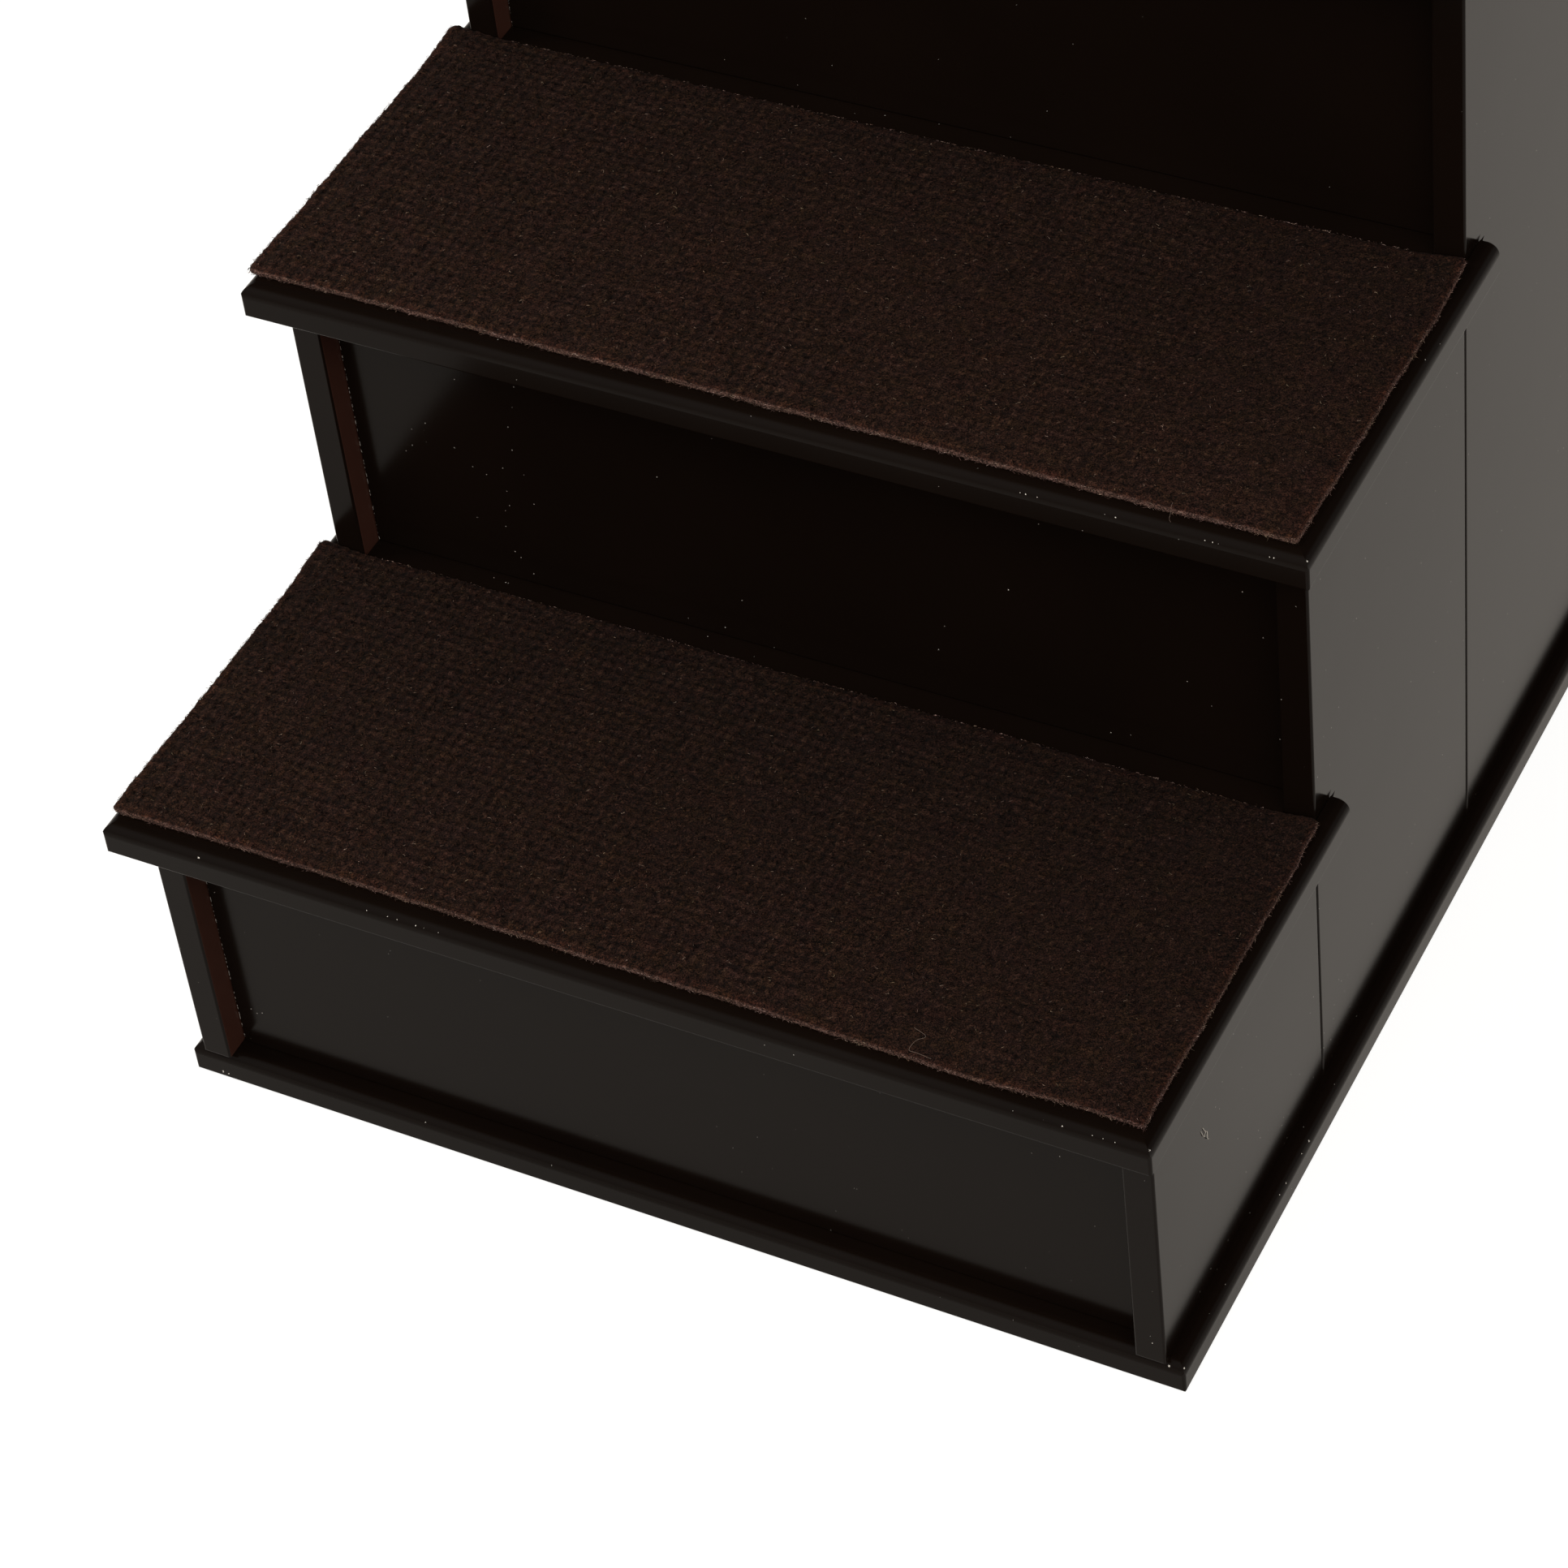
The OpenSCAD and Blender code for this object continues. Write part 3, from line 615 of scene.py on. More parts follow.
class Tufts:
    """Places and heights of the tufts of one mat"""

    def __init__(self, seed):
        rng = np.random.default_rng(seed)
        self.seed = seed
        self.cols = int(MAT_W / TUFT_PITCH) + SPARE_TUFTS
        self.rows = int(MAT_D / TUFT_PITCH) + SPARE_TUFTS
        i, j = np.meshgrid(np.arange(self.cols), np.arange(self.rows), indexing="ij")
        off_x, off_y = TUFT_OFF
        self.x = (i - (self.cols - 1) / 2) * TUFT_PITCH + rng.uniform(-off_x, off_x, i.shape)
        self.y = (j - (self.rows - 1) / 2) * TUFT_PITCH + rng.uniform(-off_y, off_y, i.shape)
        self.height = rng.uniform(*TUFT_HEIGHTS, i.shape)
        self.height *= np.where(rng.random(i.shape) < FLATTENED, FLAT_HEIGHT, 1.0)
        self.size = rng.uniform(*TUFT_SIZES, i.shape)
        self.tone = rng.uniform(0.0, 1.0, i.shape)

    def relief(self, x, y):
        """Height from 0 to 1 of the pile at places on the mat, and the tone of the tuft there"""
        bent_x = x + TUFT_BEND * drift(x, y, BEND_OVER, self.seed + 1)
        bent_y = y + TUFT_BEND * drift(x, y, BEND_OVER, self.seed + 2)
        i = np.rint(bent_x / TUFT_PITCH + (self.cols - 1) / 2).astype(int)
        j = np.rint(bent_y / TUFT_PITCH + (self.rows - 1) / 2).astype(int)
        best, tone = np.zeros(np.shape(x)), np.zeros(np.shape(x))
        for di in (-1, 0, 1):
            for dj in (-1, 0, 1):
                a, b = np.clip(i + di, 0, self.cols - 1), np.clip(j + dj, 0, self.rows - 1)
                off_x = (bent_x - self.x[a, b]) / (TUFT_RADIUS[0] * self.size[a, b])
                off_y = (bent_y - self.y[a, b]) / (TUFT_RADIUS[1] * self.size[a, b])
                here = self.height[a, b] * np.sqrt(np.clip(1 - off_x**2 - off_y**2, 0, 1))
                tone = np.where(here > best, self.tone[a, b], tone)
                best = np.maximum(best, here)
        return best, tone


tufts = {n: Tufts(100 + n) for n in STEPS}
print("tufts on a mat:", tufts[1].cols * tufts[1].rows)

# %% [markdown]
# ## How a mat lies
# A mat is a soft sheet laid on two hook strips. Over the strips its underside is 1.1 mm above the tread, and
# past them its edge sinks onto the paint. The back corners have curled up a few millimetres with use. One
# function gives the underside's height at any place, and another turns a mat's places into the part's.

# %% Lie of the mats
UNDER_MIDDLE, UNDER_RIM, RIM_DROOP = 1.1, 0.2, 16.0
CORNER_CURL = {1: (2.2, 3.0), 2: (2.4, 3.2), 3: (2.0, 2.6)}
CURL_REACH, CURL_BEND = 26.0, 1.6


def from_edge(x, y):
    return np.minimum(MAT_W / 2 - np.abs(x), MAT_D / 2 - np.abs(y))


def underside(n, x, y):
    height = UNDER_RIM + (UNDER_MIDDLE - UNDER_RIM) * smooth_step(from_edge(x, y) / RIM_DROOP)
    for side, curl in zip((-1, 1), CORNER_CURL[n]):
        far = np.hypot(x - side * MAT_W / 2, y - MAT_D / 2)
        height = height + curl * np.clip(1 - far / CURL_REACH, 0, 1) ** CURL_BEND
    return height


def place_on_tread(n, local):
    """Turns a mat's own places into places of the part, in mm"""
    low, high = (np.array(corner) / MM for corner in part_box(f"carpet_mat_{n}"))
    top = np.array(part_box(f"tread_{n}")[1])[2] / MM
    turn = np.array([[math.cos(MAT_TURN), -math.sin(MAT_TURN)], [math.sin(MAT_TURN), math.cos(MAT_TURN)]])
    out = np.array(local, float)
    out[..., :2] = out[..., :2] @ turn.T + (low[:2] + high[:2]) / 2
    out[..., 2] += top
    return out


print("first mat's middle:", place_on_tread(1, [0.0, 0.0, 0.0]).round(1))

# %% [markdown]
# ## Height, wear and painted light of the pile
# The pile's height adds up from a body, the tufts, the weave of their rows and columns, the curls of single
# yarns and a slow swell. Its tone adds up in the same way, with painted light on what stands higher and
# painted shade in the gaps. Feet have trodden the right half flatter and rubbed the rim redder. Each mat
# also gets painted light at its front left and painted shade towards its back.

# %% Height, wear and painted light of the pile
PILE_BODY = 1.95
PILE_HEIGHT = {"tufts": 0.60, "weave": 0.11, "curls": 0.15, "swell": 0.04}
# Tone: painted light on high tufts and the weave, painted shade in the gaps, with random curls, wear and tuft
# tone
PILE_SHADE = {"body": 0.31, "tufts": 0.25, "weave": 0.08, "curls": 0.14, "trodden": 0.10, "tuft tone": 0.05}
ROW_SHARE, COLUMN_SHARE, WEAVE_BEND = 0.65, 0.75, 0.5
CURLS_MM, ROW_BEND_MM, COLUMN_BEND_MM, SWELL_MM = 1.1, 11.0, 9.0, 17.0
TRODDEN_MIDDLE, TRODDEN_DRIFT, TRODDEN_MM, TRODDEN_FLAT = 0.46, 0.4, 55.0, 0.6
BACK_CUT_FADE, BACK_CUT_FROM, BACK_CUT_OVER = 0.75, 2.5, 2.0
RIM_REACH, RIM_DRIFT, RIM_MM = 3.2, 1.3, 13.0
PAINTED_LIGHT_LEVEL = {1: 0.42, 2: 0.58, 3: 0.5}
PAINTED_LIGHT_TO_FRONT, PAINTED_LIGHT_TO_LEFT, PAINTED_LIGHT_DRIFT, PAINTED_LIGHT_MM = 0.60, 0.28, 0.06, 60.0


def pile_top(n, x, y):
    """Height of the pile over the tread, and its tone from painted shade in a gap, 0, to painted light on a
    tip, 1
    """
    relief, tone = tufts[n].relief(x, y)
    trodden = smooth_step(TRODDEN_MIDDLE + x / MAT_W + TRODDEN_DRIFT * drift(x, y, TRODDEN_MM, 50 + n))
    stand = 1 - TRODDEN_FLAT * trodden
    row = np.cos(2 * math.pi * (y + WEAVE_BEND * drift(x, y, ROW_BEND_MM, 20 + n)) / TUFT_PITCH)
    column = np.cos(2 * math.pi * (x + WEAVE_BEND * drift(x, y, COLUMN_BEND_MM, 24 + n)) / TUFT_PITCH)
    parts = {
        "body": 1.0,
        "tufts": stand * relief,
        "weave": stand * (ROW_SHARE * row + COLUMN_SHARE * column),
        "curls": drift(x, y, CURLS_MM, 30 + n),
        "swell": drift(x, y, SWELL_MM, 40 + n),
        "trodden": trodden,
        "tuft tone": tone - 0.5,
    }
    height = PILE_BODY + sum(share * parts[part] for part, share in PILE_HEIGHT.items())
    shade = sum(share * parts[part] for part, share in PILE_SHADE.items())
    return underside(n, x, y) + height, np.clip(shade, 0, 1)


def worn_cut(y):
    """1 on the cut faces that feet rub, and less along the back, where the cut stays brown"""
    return 1 - BACK_CUT_FADE * smooth_step((y - MAT_D / 2 + BACK_CUT_FROM) / BACK_CUT_OVER)


def rim_share(n, x, y):
    """How far a place on the mat belongs to its rubbed, redder rim"""
    reach = RIM_REACH + RIM_DRIFT * drift(x, y, RIM_MM, 80 + n)
    return np.clip(1 - from_edge(x, y) / reach, 0, 1) * worn_cut(y)


def painted_light(n, x, y):
    """How much painted light a place gets, from 0, painted shade at the back, to 1, painted light at the
    front left
    """
    slope = PAINTED_LIGHT_TO_FRONT * y / MAT_D + PAINTED_LIGHT_TO_LEFT * x / MAT_W
    return np.clip(PAINTED_LIGHT_LEVEL[n] - slope + PAINTED_LIGHT_DRIFT * drift(x, y, PAINTED_LIGHT_MM, 90 + n), 0, 1)


print("pile stands", round(float(pile_top(1, 0.0, 0.0)[0]), 2), "mm over the first tread's middle")

# %% [markdown]
# ## Shape of one mat
# The outline is a rectangle with small corners, laid on a square grid. Mapping each corner's square onto a
# quarter disc keeps the grid whole there. The rim then goes down in three rings as the cut face of the pile,
# turns in underneath, and a last flat face closes the backing. Four values go along with each point: the tone
# of the pile with its painted shade, how near the rim it is, how far it belongs to the cut face, and its
# share of painted light. The first mat's left edge has crept in, and its front right corner was trimmed.

# %% Mat shape
GRID_MM = 0.86
CORNER_R = {(-1, -1): 2.0, (1, -1): 1.5, (-1, 1): 3.0, (1, 1): 3.0}
CUT_LEVELS = ((0.10, 0.80, 0.75), (0.18, 0.45, 1.0), (0.02, 0.10, 0.8))  # outward mm, share of height, cut
CUT_UNEVEN = 0.14
UNDER_LEVELS = (-1.2, -6.0, -18.0)
RIM_SUNK = 0.3
UNEVEN_HEIGHT, UNEVEN_SHADE = 0.10, 0.30
CREEP = {1: 0.9, 2: 0.2, 3: 0.2}
TRIMMED, TRIMMED_FROM, TRIMMED_OVER = {1: 1.9, 2: 0.0, 3: 0.3}, 135.0, 50.0
WAVE, WAVE_AT_BACK, LONG_WAVE = 0.3, 0.35, 1.1


def round_corners(x, y):
    for (sx, sy), r in CORNER_R.items():
        cx, cy = sx * (MAT_W / 2 - r), sy * (MAT_D / 2 - r)
        a, b = (x - cx) / r * sx, (y - cy) / r * sy
        inside = (a > 0) & (b > 0)
        x = np.where(inside, cx + sx * r * a * np.sqrt(np.clip(1 - b * b / 2, 0, 1)), x)
        y = np.where(inside, cy + sy * r * b * np.sqrt(np.clip(1 - a * a / 2, 0, 1)), y)
    return x, y


def cut_line(n, x, y):
    """Moves the outline as uneven scissors left it"""
    near_x, near_y = np.abs(2 * x / MAT_W) ** 40, np.abs(2 * y / MAT_D) ** 16
    hollow = np.where(x < 0, CREEP[n] * (1 - (2 * y / MAT_D) ** 2), 0.0)
    x = x + near_x * (WAVE * drift(y, 0 * y, 9.0, 60 + n) + hollow)
    forward = np.where(y < 0, 1.0, WAVE_AT_BACK)
    ripple = drift(x, 0 * x, 11.0, 70 + n) + LONG_WAVE * drift(x, 0 * x, 47.0, 75 + n)
    trimmed = np.where(y < 0, TRIMMED[n] * smooth_step((x - TRIMMED_FROM) / TRIMMED_OVER), 0.0)
    return x, y + near_y * (WAVE * forward * ripple + trimmed)


def pile_surface(n):
    """The top of a mat as a grid of points, its faces, the loop of points round it and its values"""
    across = np.linspace(-MAT_W / 2, MAT_W / 2, int(MAT_W / GRID_MM) + 1)
    deep = np.linspace(-MAT_D / 2, MAT_D / 2, int(MAT_D / GRID_MM) + 1)
    x, y = round_corners(*np.meshgrid(across, deep, indexing="ij"))
    top, shade = pile_top(n, x, y)
    rng = np.random.default_rng(150 + n)
    top = top + rng.uniform(-UNEVEN_HEIGHT, UNEVEN_HEIGHT, x.shape)
    shade = np.clip(shade + rng.uniform(-UNEVEN_SHADE, UNEVEN_SHADE, x.shape), 0, 1)
    near_rim, lean_and_painted_light = rim_share(n, x, y), painted_light(n, x, y)
    x, y = cut_line(n, x, y)
    faces, loop = grid_faces(x.shape)
    points = np.stack([x, y, top], axis=-1).reshape(-1, 3)
    points[loop, 2] -= RIM_SUNK
    return points, faces, loop, shade.reshape(-1), near_rim.reshape(-1), lean_and_painted_light.reshape(-1)


def mat_arrays(n):
    """Points, faces, kinds of face and values at the points of a whole mat"""
    points, faces, loop, shade, near_rim, lean_and_painted_light = pile_surface(n)
    rng = np.random.default_rng(200 + n)
    edge, count = points[loop, :2], len(loop)
    out = np.roll(edge, -1, 0) - np.roll(edge, 1, 0)
    out = np.stack([out[:, 1], -out[:, 0]], axis=1) / (np.linalg.norm(out, axis=1, keepdims=True) + 1e-9)
    rings, kind, cuts = [], [0] * len(faces), []
    for outward, share, cut in CUT_LEVELS:
        flat = edge + out * (outward + rng.uniform(-CUT_UNEVEN, CUT_UNEVEN, count))[:, None]
        rings.append(np.column_stack([flat, underside(n, *edge.T) + share * PILE_BODY]))
        cuts.append((cut + rng.uniform(-0.25, 0.0, count)) * worn_cut(edge[:, 1]))
    for inward in UNDER_LEVELS:
        flat = edge * [1 + 2 * inward / MAT_W, 1 + 2 * inward / MAT_D]
        rings.append(np.column_stack([flat, underside(n, *flat.T)]))
        cuts.append(np.zeros(count))
    ring = loop
    for k in range(len(rings)):
        new = np.arange(count) + len(points) + k * count
        faces += np.stack([ring, new, np.roll(new, -1), np.roll(ring, -1)], axis=1).tolist()
        kind += [0 if k < len(CUT_LEVELS) else 1] * count
        ring = new
    faces.append(ring[::-1].tolist())
    kind.append(1)
    below = count * len(rings)
    cut_face = np.zeros(len(points))
    cut_face[loop] = rng.uniform(0.2, 0.6, count) * worn_cut(edge[:, 1])
    marks = {"tone": np.concatenate([shade, rng.uniform(0.3, 0.8, below)])}
    marks["near_rim"] = np.concatenate([near_rim, np.ones(below)])
    marks["cut_face"] = np.concatenate([cut_face, *cuts])
    marks["painted_light"] = np.concatenate([lean_and_painted_light, np.full(below, 0.5)])
    return place_on_tread(n, np.concatenate([points, *rings])), faces, kind, marks


print("grid", GRID_MM, "mm")

# %% [markdown]
# ## Carpet finishes
# One finish covers the pile. It reads the values stored at each point, so gaps get painted shade, tips get
# painted light, the rim is redder, and the cut face shows the paler core of the yarn. Slow noises shift the
# brown towards red, plum or olive in patches, as in old carpet. A mat has painted light at its front left and
# painted shade towards its back. The backing is a dark needled felt.

# %% Carpet finishes
GAP_PAINTED_SHADE = (0.0040, 0.0019, 0.0013)
PILE_TONE = (0.0154, 0.0065, 0.0041)
TIP_PAINTED_LIGHT = (0.037, 0.0178, 0.0113)
CUT_TONE = (0.088, 0.050, 0.040)
CUT_FIBRE_TONE = (0.30, 0.21, 0.175)
YARN_TONES = (0.0032, 0.0014, 0.0010), (0.033, 0.0162, 0.0102), (0.150, 0.106, 0.080)
FELT_TONES = (0.020, 0.017, 0.015), (0.060, 0.052, 0.046)
TONE_LOW, TONE_MIDDLE = 0.05, 0.55
RIM_SHIFT = (1.55, 1.25, 1.15)
PAINTED_SHADE_AT_BACK, PAINTED_LIGHT_AT_FRONT = 0.66, 1.34
FUZZ_GRAIN, FUZZ_FROM, FUZZ_FULL = 1900.0, 0.40, 0.62
FUZZ_DARK, FUZZ_LIGHT = 0.22, 1.85
# Red, plum and olive patches: noise per metre, where they start and are full, how strong, and their shift
PATCHES = (
    (110.0, 0.50, 0.66, 0.45, (1.16, 0.97, 0.94)),
    (75.0, 0.46, 0.60, 0.70, (0.98, 0.96, 1.14)),
    (150.0, 0.46, 0.60, 0.70, (0.97, 1.04, 0.78)),
)


def times(tree, colour, factors):
    return vector(tree, "MULTIPLY", colour, factors)[0]


def from_dark_to_light(tree, share, body, dark, light):
    return colour_mix(tree, share, times(tree, body, (dark,) * 3), times(tree, body, (light,) * 3))


def pile_finish(name, low, middle, high):
    finish, tree, shader, where = new_finish(name)
    mark = lambda name: add_node(tree, "Attribute", attribute_name=name).outputs["Fac"]
    tone = mark("tone")
    # For the pile, low is the painted shade of a gap and high the painted light of a tip
    body = colour_mix(tree, rescale(tree, tone, TONE_LOW, TONE_MIDDLE), low, middle)
    body = colour_mix(tree, rescale(tree, tone, TONE_MIDDLE, 1.0), body, high)
    for scale, start, full, most, shift in PATCHES:
        patch = rescale(tree, noise(tree, where, scale), start, full, 0.0, most)
        body = colour_mix(tree, patch, body, times(tree, body, shift))
    body = colour_mix(tree, mark("near_rim"), body, times(tree, body, RIM_SHIFT))
    body = colour_mix(tree, mark("cut_face"), body, CUT_TONE)
    # Painted light at a mat's front left and painted shade towards its back
    body = from_dark_to_light(tree, mark("painted_light"), body, PAINTED_SHADE_AT_BACK, PAINTED_LIGHT_AT_FRONT)
    fuzz = noise(tree, where, FUZZ_GRAIN, 3.0)
    body = from_dark_to_light(tree, rescale(tree, fuzz, FUZZ_FROM, FUZZ_FULL), body, FUZZ_DARK, FUZZ_LIGHT)
    surface(tree, shader, body, fuzz, (0.75, 0.95), depth=0.00035, strength=0.7)
    shader.inputs["Specular IOR Level"].default_value = 0.08
    return finish


pile = pile_finish("brown_pile", GAP_PAINTED_SHADE, PILE_TONE, TIP_PAINTED_LIGHT)
yarn = pile_finish("brown_yarn", *YARN_TONES)
cut_yarn = pile_finish("cut_yarn", PILE_TONE, CUT_TONE, CUT_FIBRE_TONE)
felt = speckled_finish("felt_backing", FELT_TONES, 700.0, 5.0, (0.8, 1.0), 0.0004, 0.8)
print("carpet finishes:", pile.name, yarn.name, cut_yarn.name, felt.name)

# %% [markdown]
# ## Yarn ends
# Domes alone look like pebbles. On the real pile, single yarns lie over the tufts as short bright squiggles.
# Each is a small closed spindle along a bowed path, laid on the pile at its own height. Their places and
# turns are random but seeded, so each run gives the same carpet. Few are bright, and those in gaps get
# painted shade.

# %% Yarn ends
YARNS_ON_MAT = 19500
YARN_LENGTH, YARN_BOW, YARN_LIFT = (0.9, 2.4), (-0.8, 0.8), (0.05, 0.45)
YARN_R, YARN_TAPER = (0.09, 0.19), np.array([0.0, 1.0, 0.9, 0.0])
YARN_SUNK = 0.05
MIDDLES_INSET, YARNS_INSET = 1.2, 0.3
WAY_SPREAD, SQUARE_SHARE = 0.8, 0.3
BRIGHT_SHARE, BROWN_SHARE = 0.04, 0.42  # the rest are dark


def yarn_arrays(n):
    rng, count = np.random.default_rng(300 + n), YARNS_ON_MAT
    half_x, half_y = MAT_W / 2, MAT_D / 2
    x = rng.uniform(MIDDLES_INSET - half_x, half_x - MIDDLES_INSET, count)
    y = rng.uniform(MIDDLES_INSET - half_y, half_y - MIDDLES_INSET, count)
    way = rng.normal(0, WAY_SPREAD, count) + math.pi * (rng.random(count) < SQUARE_SHARE) / 2
    length, bow = rng.uniform(*YARN_LENGTH, count)[:, None], rng.uniform(*YARN_BOW, count)[:, None]
    along = np.array([-0.5, -0.19, 0.19, 0.5])
    arch = 1 - (2 * along) ** 2
    step_x, step_y = turned(along * length, bow * arch, way)
    px = np.clip(x[:, None] + step_x, YARNS_INSET - half_x, half_x - YARNS_INSET)
    py = np.clip(y[:, None] + step_y, YARNS_INSET - half_y, half_y - YARNS_INSET)
    ground, shade = pile_top(n, px, py)
    lift = rng.uniform(*YARN_LIFT, count)[:, None] * arch
    paths = np.stack([px, py, ground + lift - YARN_SUNK], axis=-1)
    thick = rng.uniform(*YARN_R, count)[:, None] * YARN_TAPER
    points, faces, per = spindles(place_on_tread(n, paths), thick)
    lot = rng.random(count)
    kinds = [lot < BRIGHT_SHARE, lot < BROWN_SHARE]
    bright = np.select(kinds, [0.62 + 8.0 * lot, 0.24 + 0.85 * lot], 0.28 * (lot - BROWN_SHARE))
    # Yarns over a gap take its painted shade from the pile's tone below them
    marks = {"tone": np.repeat(bright * (0.8 + 0.4 * shade.mean(1)), per)}
    marks["near_rim"] = np.repeat(rim_share(n, x, y), per)
    marks["painted_light"] = np.repeat(painted_light(n, x, y), per)
    return points, faces, marks


print("yarn ends on a mat:", YARNS_ON_MAT)

# %% [markdown]
# ## Cut fuzz
# Where the mat was cut, loose fibres stand out of the rim. They are thinner spindles that start on the cut
# face. Half of them lean outwards, and half lie along the cut and make its line uneven and bright. They are
# short at the back, where the next side boards are close, and the curled back corners have none.

# %% Cut fuzz
FUZZ_PER_MM = 5.0
FUZZ_ON_MAT = int(2 * (MAT_W + MAT_D) * FUZZ_PER_MM)
LYING_SHARE, LYING_WAY, LYING_LONGER = 0.5, 1.35, 1.2
FUZZ_LENGTH, FUZZ_R = (0.25, 2.1), (0.05, 0.12)
FUZZ_TAPER = np.array([0.0, 1.0, 0.8, 0.0])
FUZZ_SWAY, FUZZ_SAG, OVER_PAINT = 0.45, 0.12, 0.12
BACK_CORNERS_FROM = 183.0


def fuzz_arrays(n):
    rng, count = np.random.default_rng(400 + n), FUZZ_ON_MAT
    s = rng.uniform(0, 2 * (MAT_W + MAT_D), count)
    side = np.select([s < MAT_W, s < MAT_W + MAT_D, s < 2 * MAT_W + MAT_D], [0, 1, 2], 3)
    run = s - np.choose(side, [0, MAT_W, MAT_W + MAT_D, 2 * MAT_W + MAT_D])
    x = np.choose(side, [run - MAT_W / 2, MAT_W / 2 + 0 * s, MAT_W / 2 - run, -MAT_W / 2 + 0 * s])
    y = np.choose(side, [-MAT_D / 2 + 0 * s, run - MAT_D / 2, MAT_D / 2 + 0 * s, MAT_D / 2 - run])
    x, y = round_corners(x * 0.9998, y * 0.9994)
    x, y = cut_line(n, x, y)
    outward = np.choose(side, [-0.5, 0.0, 0.5, 1.0]) * math.pi
    lying = rng.random(count) < LYING_SHARE
    aside = np.sign(rng.uniform(-1, 1, count)) * LYING_WAY
    way = outward + np.where(lying, aside, rng.normal(0, 0.7, count))
    length = rng.gamma(2.2, 0.30, count).clip(*FUZZ_LENGTH) * np.where(side == 2, 0.5, 1.0)
    length = np.where(lying, LYING_LONGER + length, length)
    rise = np.where(lying, rng.normal(0, 0.12, count), rng.normal(0.05, 0.45, count))
    share = rng.uniform(0.1, 1.2, count)
    start = np.stack([x, y, underside(n, x, y) + share * PILE_BODY], axis=1)
    along = np.linspace(0, 1, 4)
    run_out = along * length[:, None]
    sway = rng.uniform(-FUZZ_SWAY, FUZZ_SWAY, count)[:, None]
    step_x, step_y = turned(run_out, sway * along**2, way)
    step_z = rise[:, None] * run_out - FUZZ_SAG * run_out**2
    paths = start[:, None] + np.stack([step_x, step_y, step_z], axis=-1)
    paths[..., 2] = np.maximum(paths[..., 2], OVER_PAINT)
    keep = ~((side == 2) & (np.abs(x) > BACK_CORNERS_FROM))
    thick = rng.uniform(*FUZZ_R, count)[:, None] * FUZZ_TAPER
    points, faces, per = spindles(place_on_tread(n, paths[keep]), thick[keep])
    marks = {"tone": np.repeat(rng.beta(1.2, 1.6, keep.sum()), per)}
    marks["painted_light"] = np.full(len(points), 0.5)
    return points, faces, marks


print("fuzz fibres on a mat:", FUZZ_ON_MAT)

# %% [markdown]
# ## Hook tape
# A mat is held by two strips of black hook tape on the tread, which show once it is lifted. A bump would do
# for a texture seen from afar, but the hooks stand almost a millimetre high. So the tape is a thin woven band
# with its hooks modelled: each is a small bent spindle, in rows over the whole band.

# %% Hook tape
HOOK_BAND_W = 20.0
BAND_T, BAND_GRID = 0.32, (460, 27)
WEAVE_PITCH, WEAVE_DEPTH, SELVEDGE_T = 1.5, 0.05, 0.07
HOOK_PITCH, HOOK_R = (1.5, 1.55), 0.095
HOOK_REACH, HOOK_HEIGHTS = np.array([0.0, 0.02, 0.34, 0.50]), np.array([0.25, 0.60, 0.68, 0.52])
HOOKS_INSET_X, HOOKS_INSET_Y = 1.0, (1.4, 1.2)
NYLON_TONES, NYLON_LINT = ((0.008, 0.008, 0.009), (0.024, 0.023, 0.024)), (0.085, 0.075, 0.066)


def band_arrays(x_low, x_high, y_low, y_high, z, seed):
    """A thin closed band with a woven top"""
    across, deep = np.linspace(x_low, x_high, BAND_GRID[0]), np.linspace(y_low, y_high, BAND_GRID[1])
    x, y = np.meshgrid(across, deep, indexing="ij")
    threads = 2 * math.pi / WEAVE_PITCH
    weave = WEAVE_DEPTH * np.sin(x * threads) * np.sin(y * threads)
    selvedge = SELVEDGE_T * (np.abs(2 * (y - y_low) / (y_high - y_low) - 1) > 0.93)
    top = z + BAND_T + weave + selvedge + 0.02 * drift(x, y, 3.0, seed)
    faces, loop = grid_faces(x.shape)
    points = np.stack([x, y, top], axis=-1).reshape(-1, 3)
    foot = points[loop].copy()
    foot[:, 2] = z
    new = np.arange(len(loop)) + len(points)
    wall = np.stack([loop, new, np.roll(new, -1), np.roll(loop, -1)], axis=1)
    return np.concatenate([points, foot]), faces + wall.tolist() + [new[::-1].tolist()]


def hook_arrays(x_low, x_high, y_low, y_high, z, seed):
    """Rows of small hooks, each leaning one way or the other along the band"""
    rng = np.random.default_rng(seed)
    first, last = x_low + HOOKS_INSET_X, x_high - HOOKS_INSET_X
    rows = np.arange(y_low + HOOKS_INSET_Y[0], y_high - HOOKS_INSET_Y[1], HOOK_PITCH[1])
    x, y = np.meshgrid(np.arange(first, last, HOOK_PITCH[0]), rows)
    shift = np.where(np.arange(len(x)) % 2, HOOK_PITCH[0] / 2, 0.0)[:, None]
    x, y = (x + shift).clip(first, last).ravel(), y.ravel()
    lean_and_painted_light = rng.choice([-1.0, 1.0], x.size)
    reach = HOOK_REACH * lean_and_painted_light[:, None] + rng.uniform(-0.05, 0.05, (x.size, 1))
    paths = np.stack([x[:, None] + reach, y[:, None] + 0 * reach, z + HOOK_HEIGHTS + 0 * reach], axis=-1)
    return spindles(paths, np.full((x.size, 4), HOOK_R))[:2]


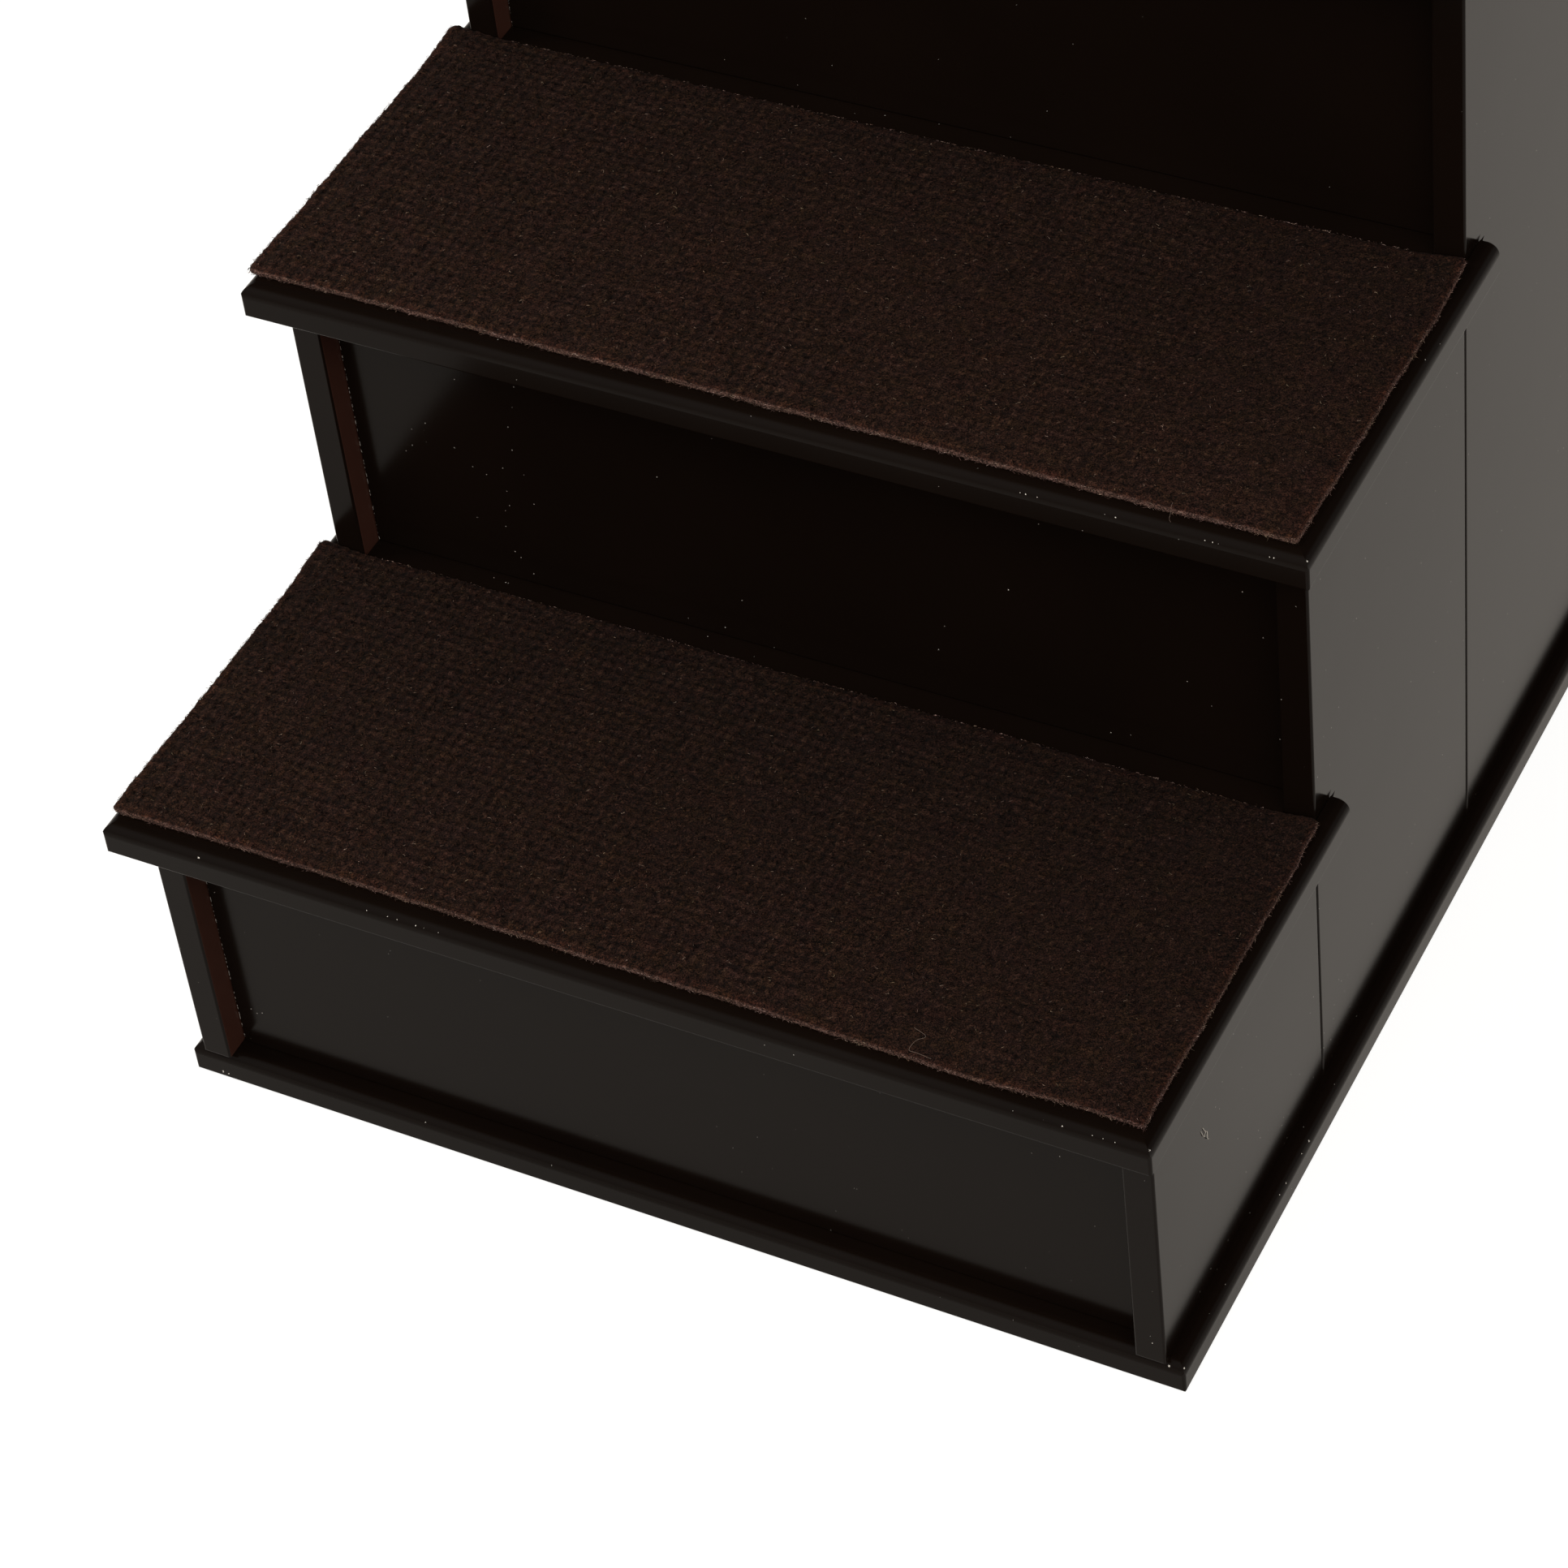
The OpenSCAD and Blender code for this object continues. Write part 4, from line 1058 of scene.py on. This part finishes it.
def nylon_finish(name):
    finish, tree, shader, where = new_finish(name)
    threads = noise(tree, where, 1900.0, 3.0)
    lint = rescale(tree, noise(tree, where, 420.0, 3.0), 0.62, 0.72, 0.0, 0.6)
    tone = colour_mix(tree, lint, colour_mix(tree, threads, *NYLON_TONES), NYLON_LINT)
    surface(tree, shader, tone, threads, (0.38, 0.6), depth=0.0001, strength=0.6)
    return finish


black_nylon = nylon_finish("black_nylon")
for n in STEPS:
    low, high = (np.array(corner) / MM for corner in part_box(f"hook_strips_{n}"))
    bands = [(low[1], low[1] + HOOK_BAND_W), (high[1] - HOOK_BAND_W, high[1])]
    points, faces = np.zeros((0, 3)), []
    for band in bands:
        for make in (band_arrays, hook_arrays):
            new_points, new_faces = make(low[0], high[0], *band, low[2], 500 + n)
            faces += [[v + len(points) for v in face] for face in new_faces]
            points = np.concatenate([points, new_points])
    tape = piece_from_arrays(f"hook_tape_{n}", points, faces, [black_nylon], "stairs")
    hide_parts(f"hook_strips_{n}")

# %% [markdown]
# ## Mats on their treads
# Each mat is three pieces that ride together: the mat itself, its yarn ends and its cut fuzz. The mat stands
# for the plain CAD mat.

# %% Put the mats on the treads
for n in STEPS:
    body, slot = f"mat_{n}", "mat_carpet"
    points, faces, kind, marks = mat_arrays(n)
    mat = piece_from_arrays(f"mat_{n}", points, faces, [pile, felt], body, kind, marks)
    points, faces, marks = yarn_arrays(n)
    ends = piece_from_arrays(f"mat_{n}_yarn_ends", points, faces, [yarn], body, marks=marks)
    points, faces, marks = fuzz_arrays(n)
    fuzz = piece_from_arrays(f"mat_{n}_cut_fuzz", points, faces, [cut_yarn], body, marks=marks)
    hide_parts(f"carpet_mat_{n}")

# %% [markdown]
# ## Beads, a hair and some lint
# Small marks tell that a thing is real. A small pointed bead in the boards' paint stands behind each tread's
# right ear, a hair lies over the first mat's front edge, and a fibre hangs on the second. A bead is a ball
# whose back half is drawn out and thinned to a tip. The fibres are single long spindles along a few places,
# smoothed into a curve.

# %% Beads, hair and lint
BEAD_HALF = (0.75, 1.0, 0.8)
BEAD_TIP_Y, BEAD_TIP_Z, BEAD_THIN = 3.3, 0.75, 0.85
EAR_ENDS = {1: -57.75, 2: 87.25}


def paint_bead(name, at):
    """A pointed bead drawn out to a tip, its middle at a place in mm"""
    shape = bmesh.new()
    bmesh.ops.create_icosphere(shape, subdivisions=4, radius=1.0)
    for v in shape.verts:
        x, y, z = v.co
        drawn = max(y, 0.0)
        lumps = 1 + 0.10 * math.sin(3.1 * x + 1.0) * math.cos(2.7 * z)
        thin = (1 - BEAD_THIN * drawn) * lumps
        length = BEAD_HALF[1] + (BEAD_TIP_Y - BEAD_HALF[1]) * drawn
        off = (x * BEAD_HALF[0] * thin, y * length, z * BEAD_HALF[2] * thin + BEAD_TIP_Z * drawn)
        v.co = (Vector(at) + Vector(off)) * MM
    mesh = bpy.data.meshes.new(name)
    shape.to_mesh(mesh)
    shape.free()
    mesh.polygons.foreach_set("use_smooth", np.ones(len(mesh.polygons), bool))
    mesh.materials.append(bead_paint)
    bead = bpy.data.objects.new(name, mesh)
    add_to_scene(bead)
    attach(bead, "stairs")
    print(name, len(mesh.polygons), "faces")


def thread(name, places, radius, body, finish):
    """A thin fibre along places in mm, smoothed"""
    places = np.array(places, float)
    knots = np.arange(len(places))
    t = np.linspace(0, len(places) - 1, 12 * len(places))
    i = np.clip(t.astype(int), 0, len(places) - 2)
    s = (t - i)[:, None]
    slope = np.gradient(places, knots, axis=0)
    curve = (1 + 2 * s) * (1 - s) ** 2 * places[i] + s * (1 - s) ** 2 * slope[i]
    curve += s * s * (3 - 2 * s) * places[i + 1] + s * s * (s - 1) * slope[i + 1]
    points, faces, count = spindles(curve[None], np.full((1, len(t)), radius), ring=6)
    marks = {"tone": np.full(count, 0.9)}
    return piece_from_arrays(name, points, faces, [finish], body, marks=marks)


def lint_finish(name, tone):
    return speckled_finish(name, (tone, [0.6 * c for c in tone]), 900.0, 2.0, (0.5, 0.8))


bead_paint = paint_finish("espresso_bead", dusty=False)
pale_lint = lint_finish("pale_lint", (0.55, 0.50, 0.44))
tan_hair = lint_finish("tan_hair", (0.16, 0.105, 0.078))
for n, ear_end in EAR_ENDS.items():
    tread_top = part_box(f"tread_{n}")[1][2] / MM
    paint_bead(f"paint_bead_{n}", (200.75, ear_end - 0.3, tread_top - 0.7))

# Places in mm: x, then y, then z
HAIR = zip(
    (112.2, 118.0, 115.7, 115.1, 118.5, 123.9),
    (-213.9, -216.4, -219.3, -223.6, -223.9, -224.2),
    (153.4, 153.7, 153.6, 153.2, 153.1, 152.7),
)
FIBRE = zip(
    (155.9, 156.1, 156.4, 156.6, 157.5),
    (-79.2, -81.0, -82.6, -84.2, -85.0),
    (293.4, 293.2, 291.6, 290.3, 289.8),
)
LINT = zip(
    (200.08, 200.35, 200.1, 200.5, 200.1),
    (-176.0, -174.6, -172.6, -173.4, -171.4),
    (98.6, 95.4, 93.0, 90.6, 88.1),
)
LINT_LOOP = zip(
    (200.08, 200.3, 200.4, 200.1),
    (-177.4, -176.4, -175.4, -173.6),
    (98.2, 95.2, 93.6, 94.9),
)
thread("hair_on_mat_1", list(HAIR), 0.07, "mat_1", tan_hair)
thread("fibre_on_mat_2", list(FIBRE), 0.05, "mat_2", tan_hair)
thread("lint_on_side_board", list(LINT), 0.16, "stairs", pale_lint)
thread("lint_loop_on_side_board", list(LINT_LOOP), 0.13, "stairs", pale_lint)
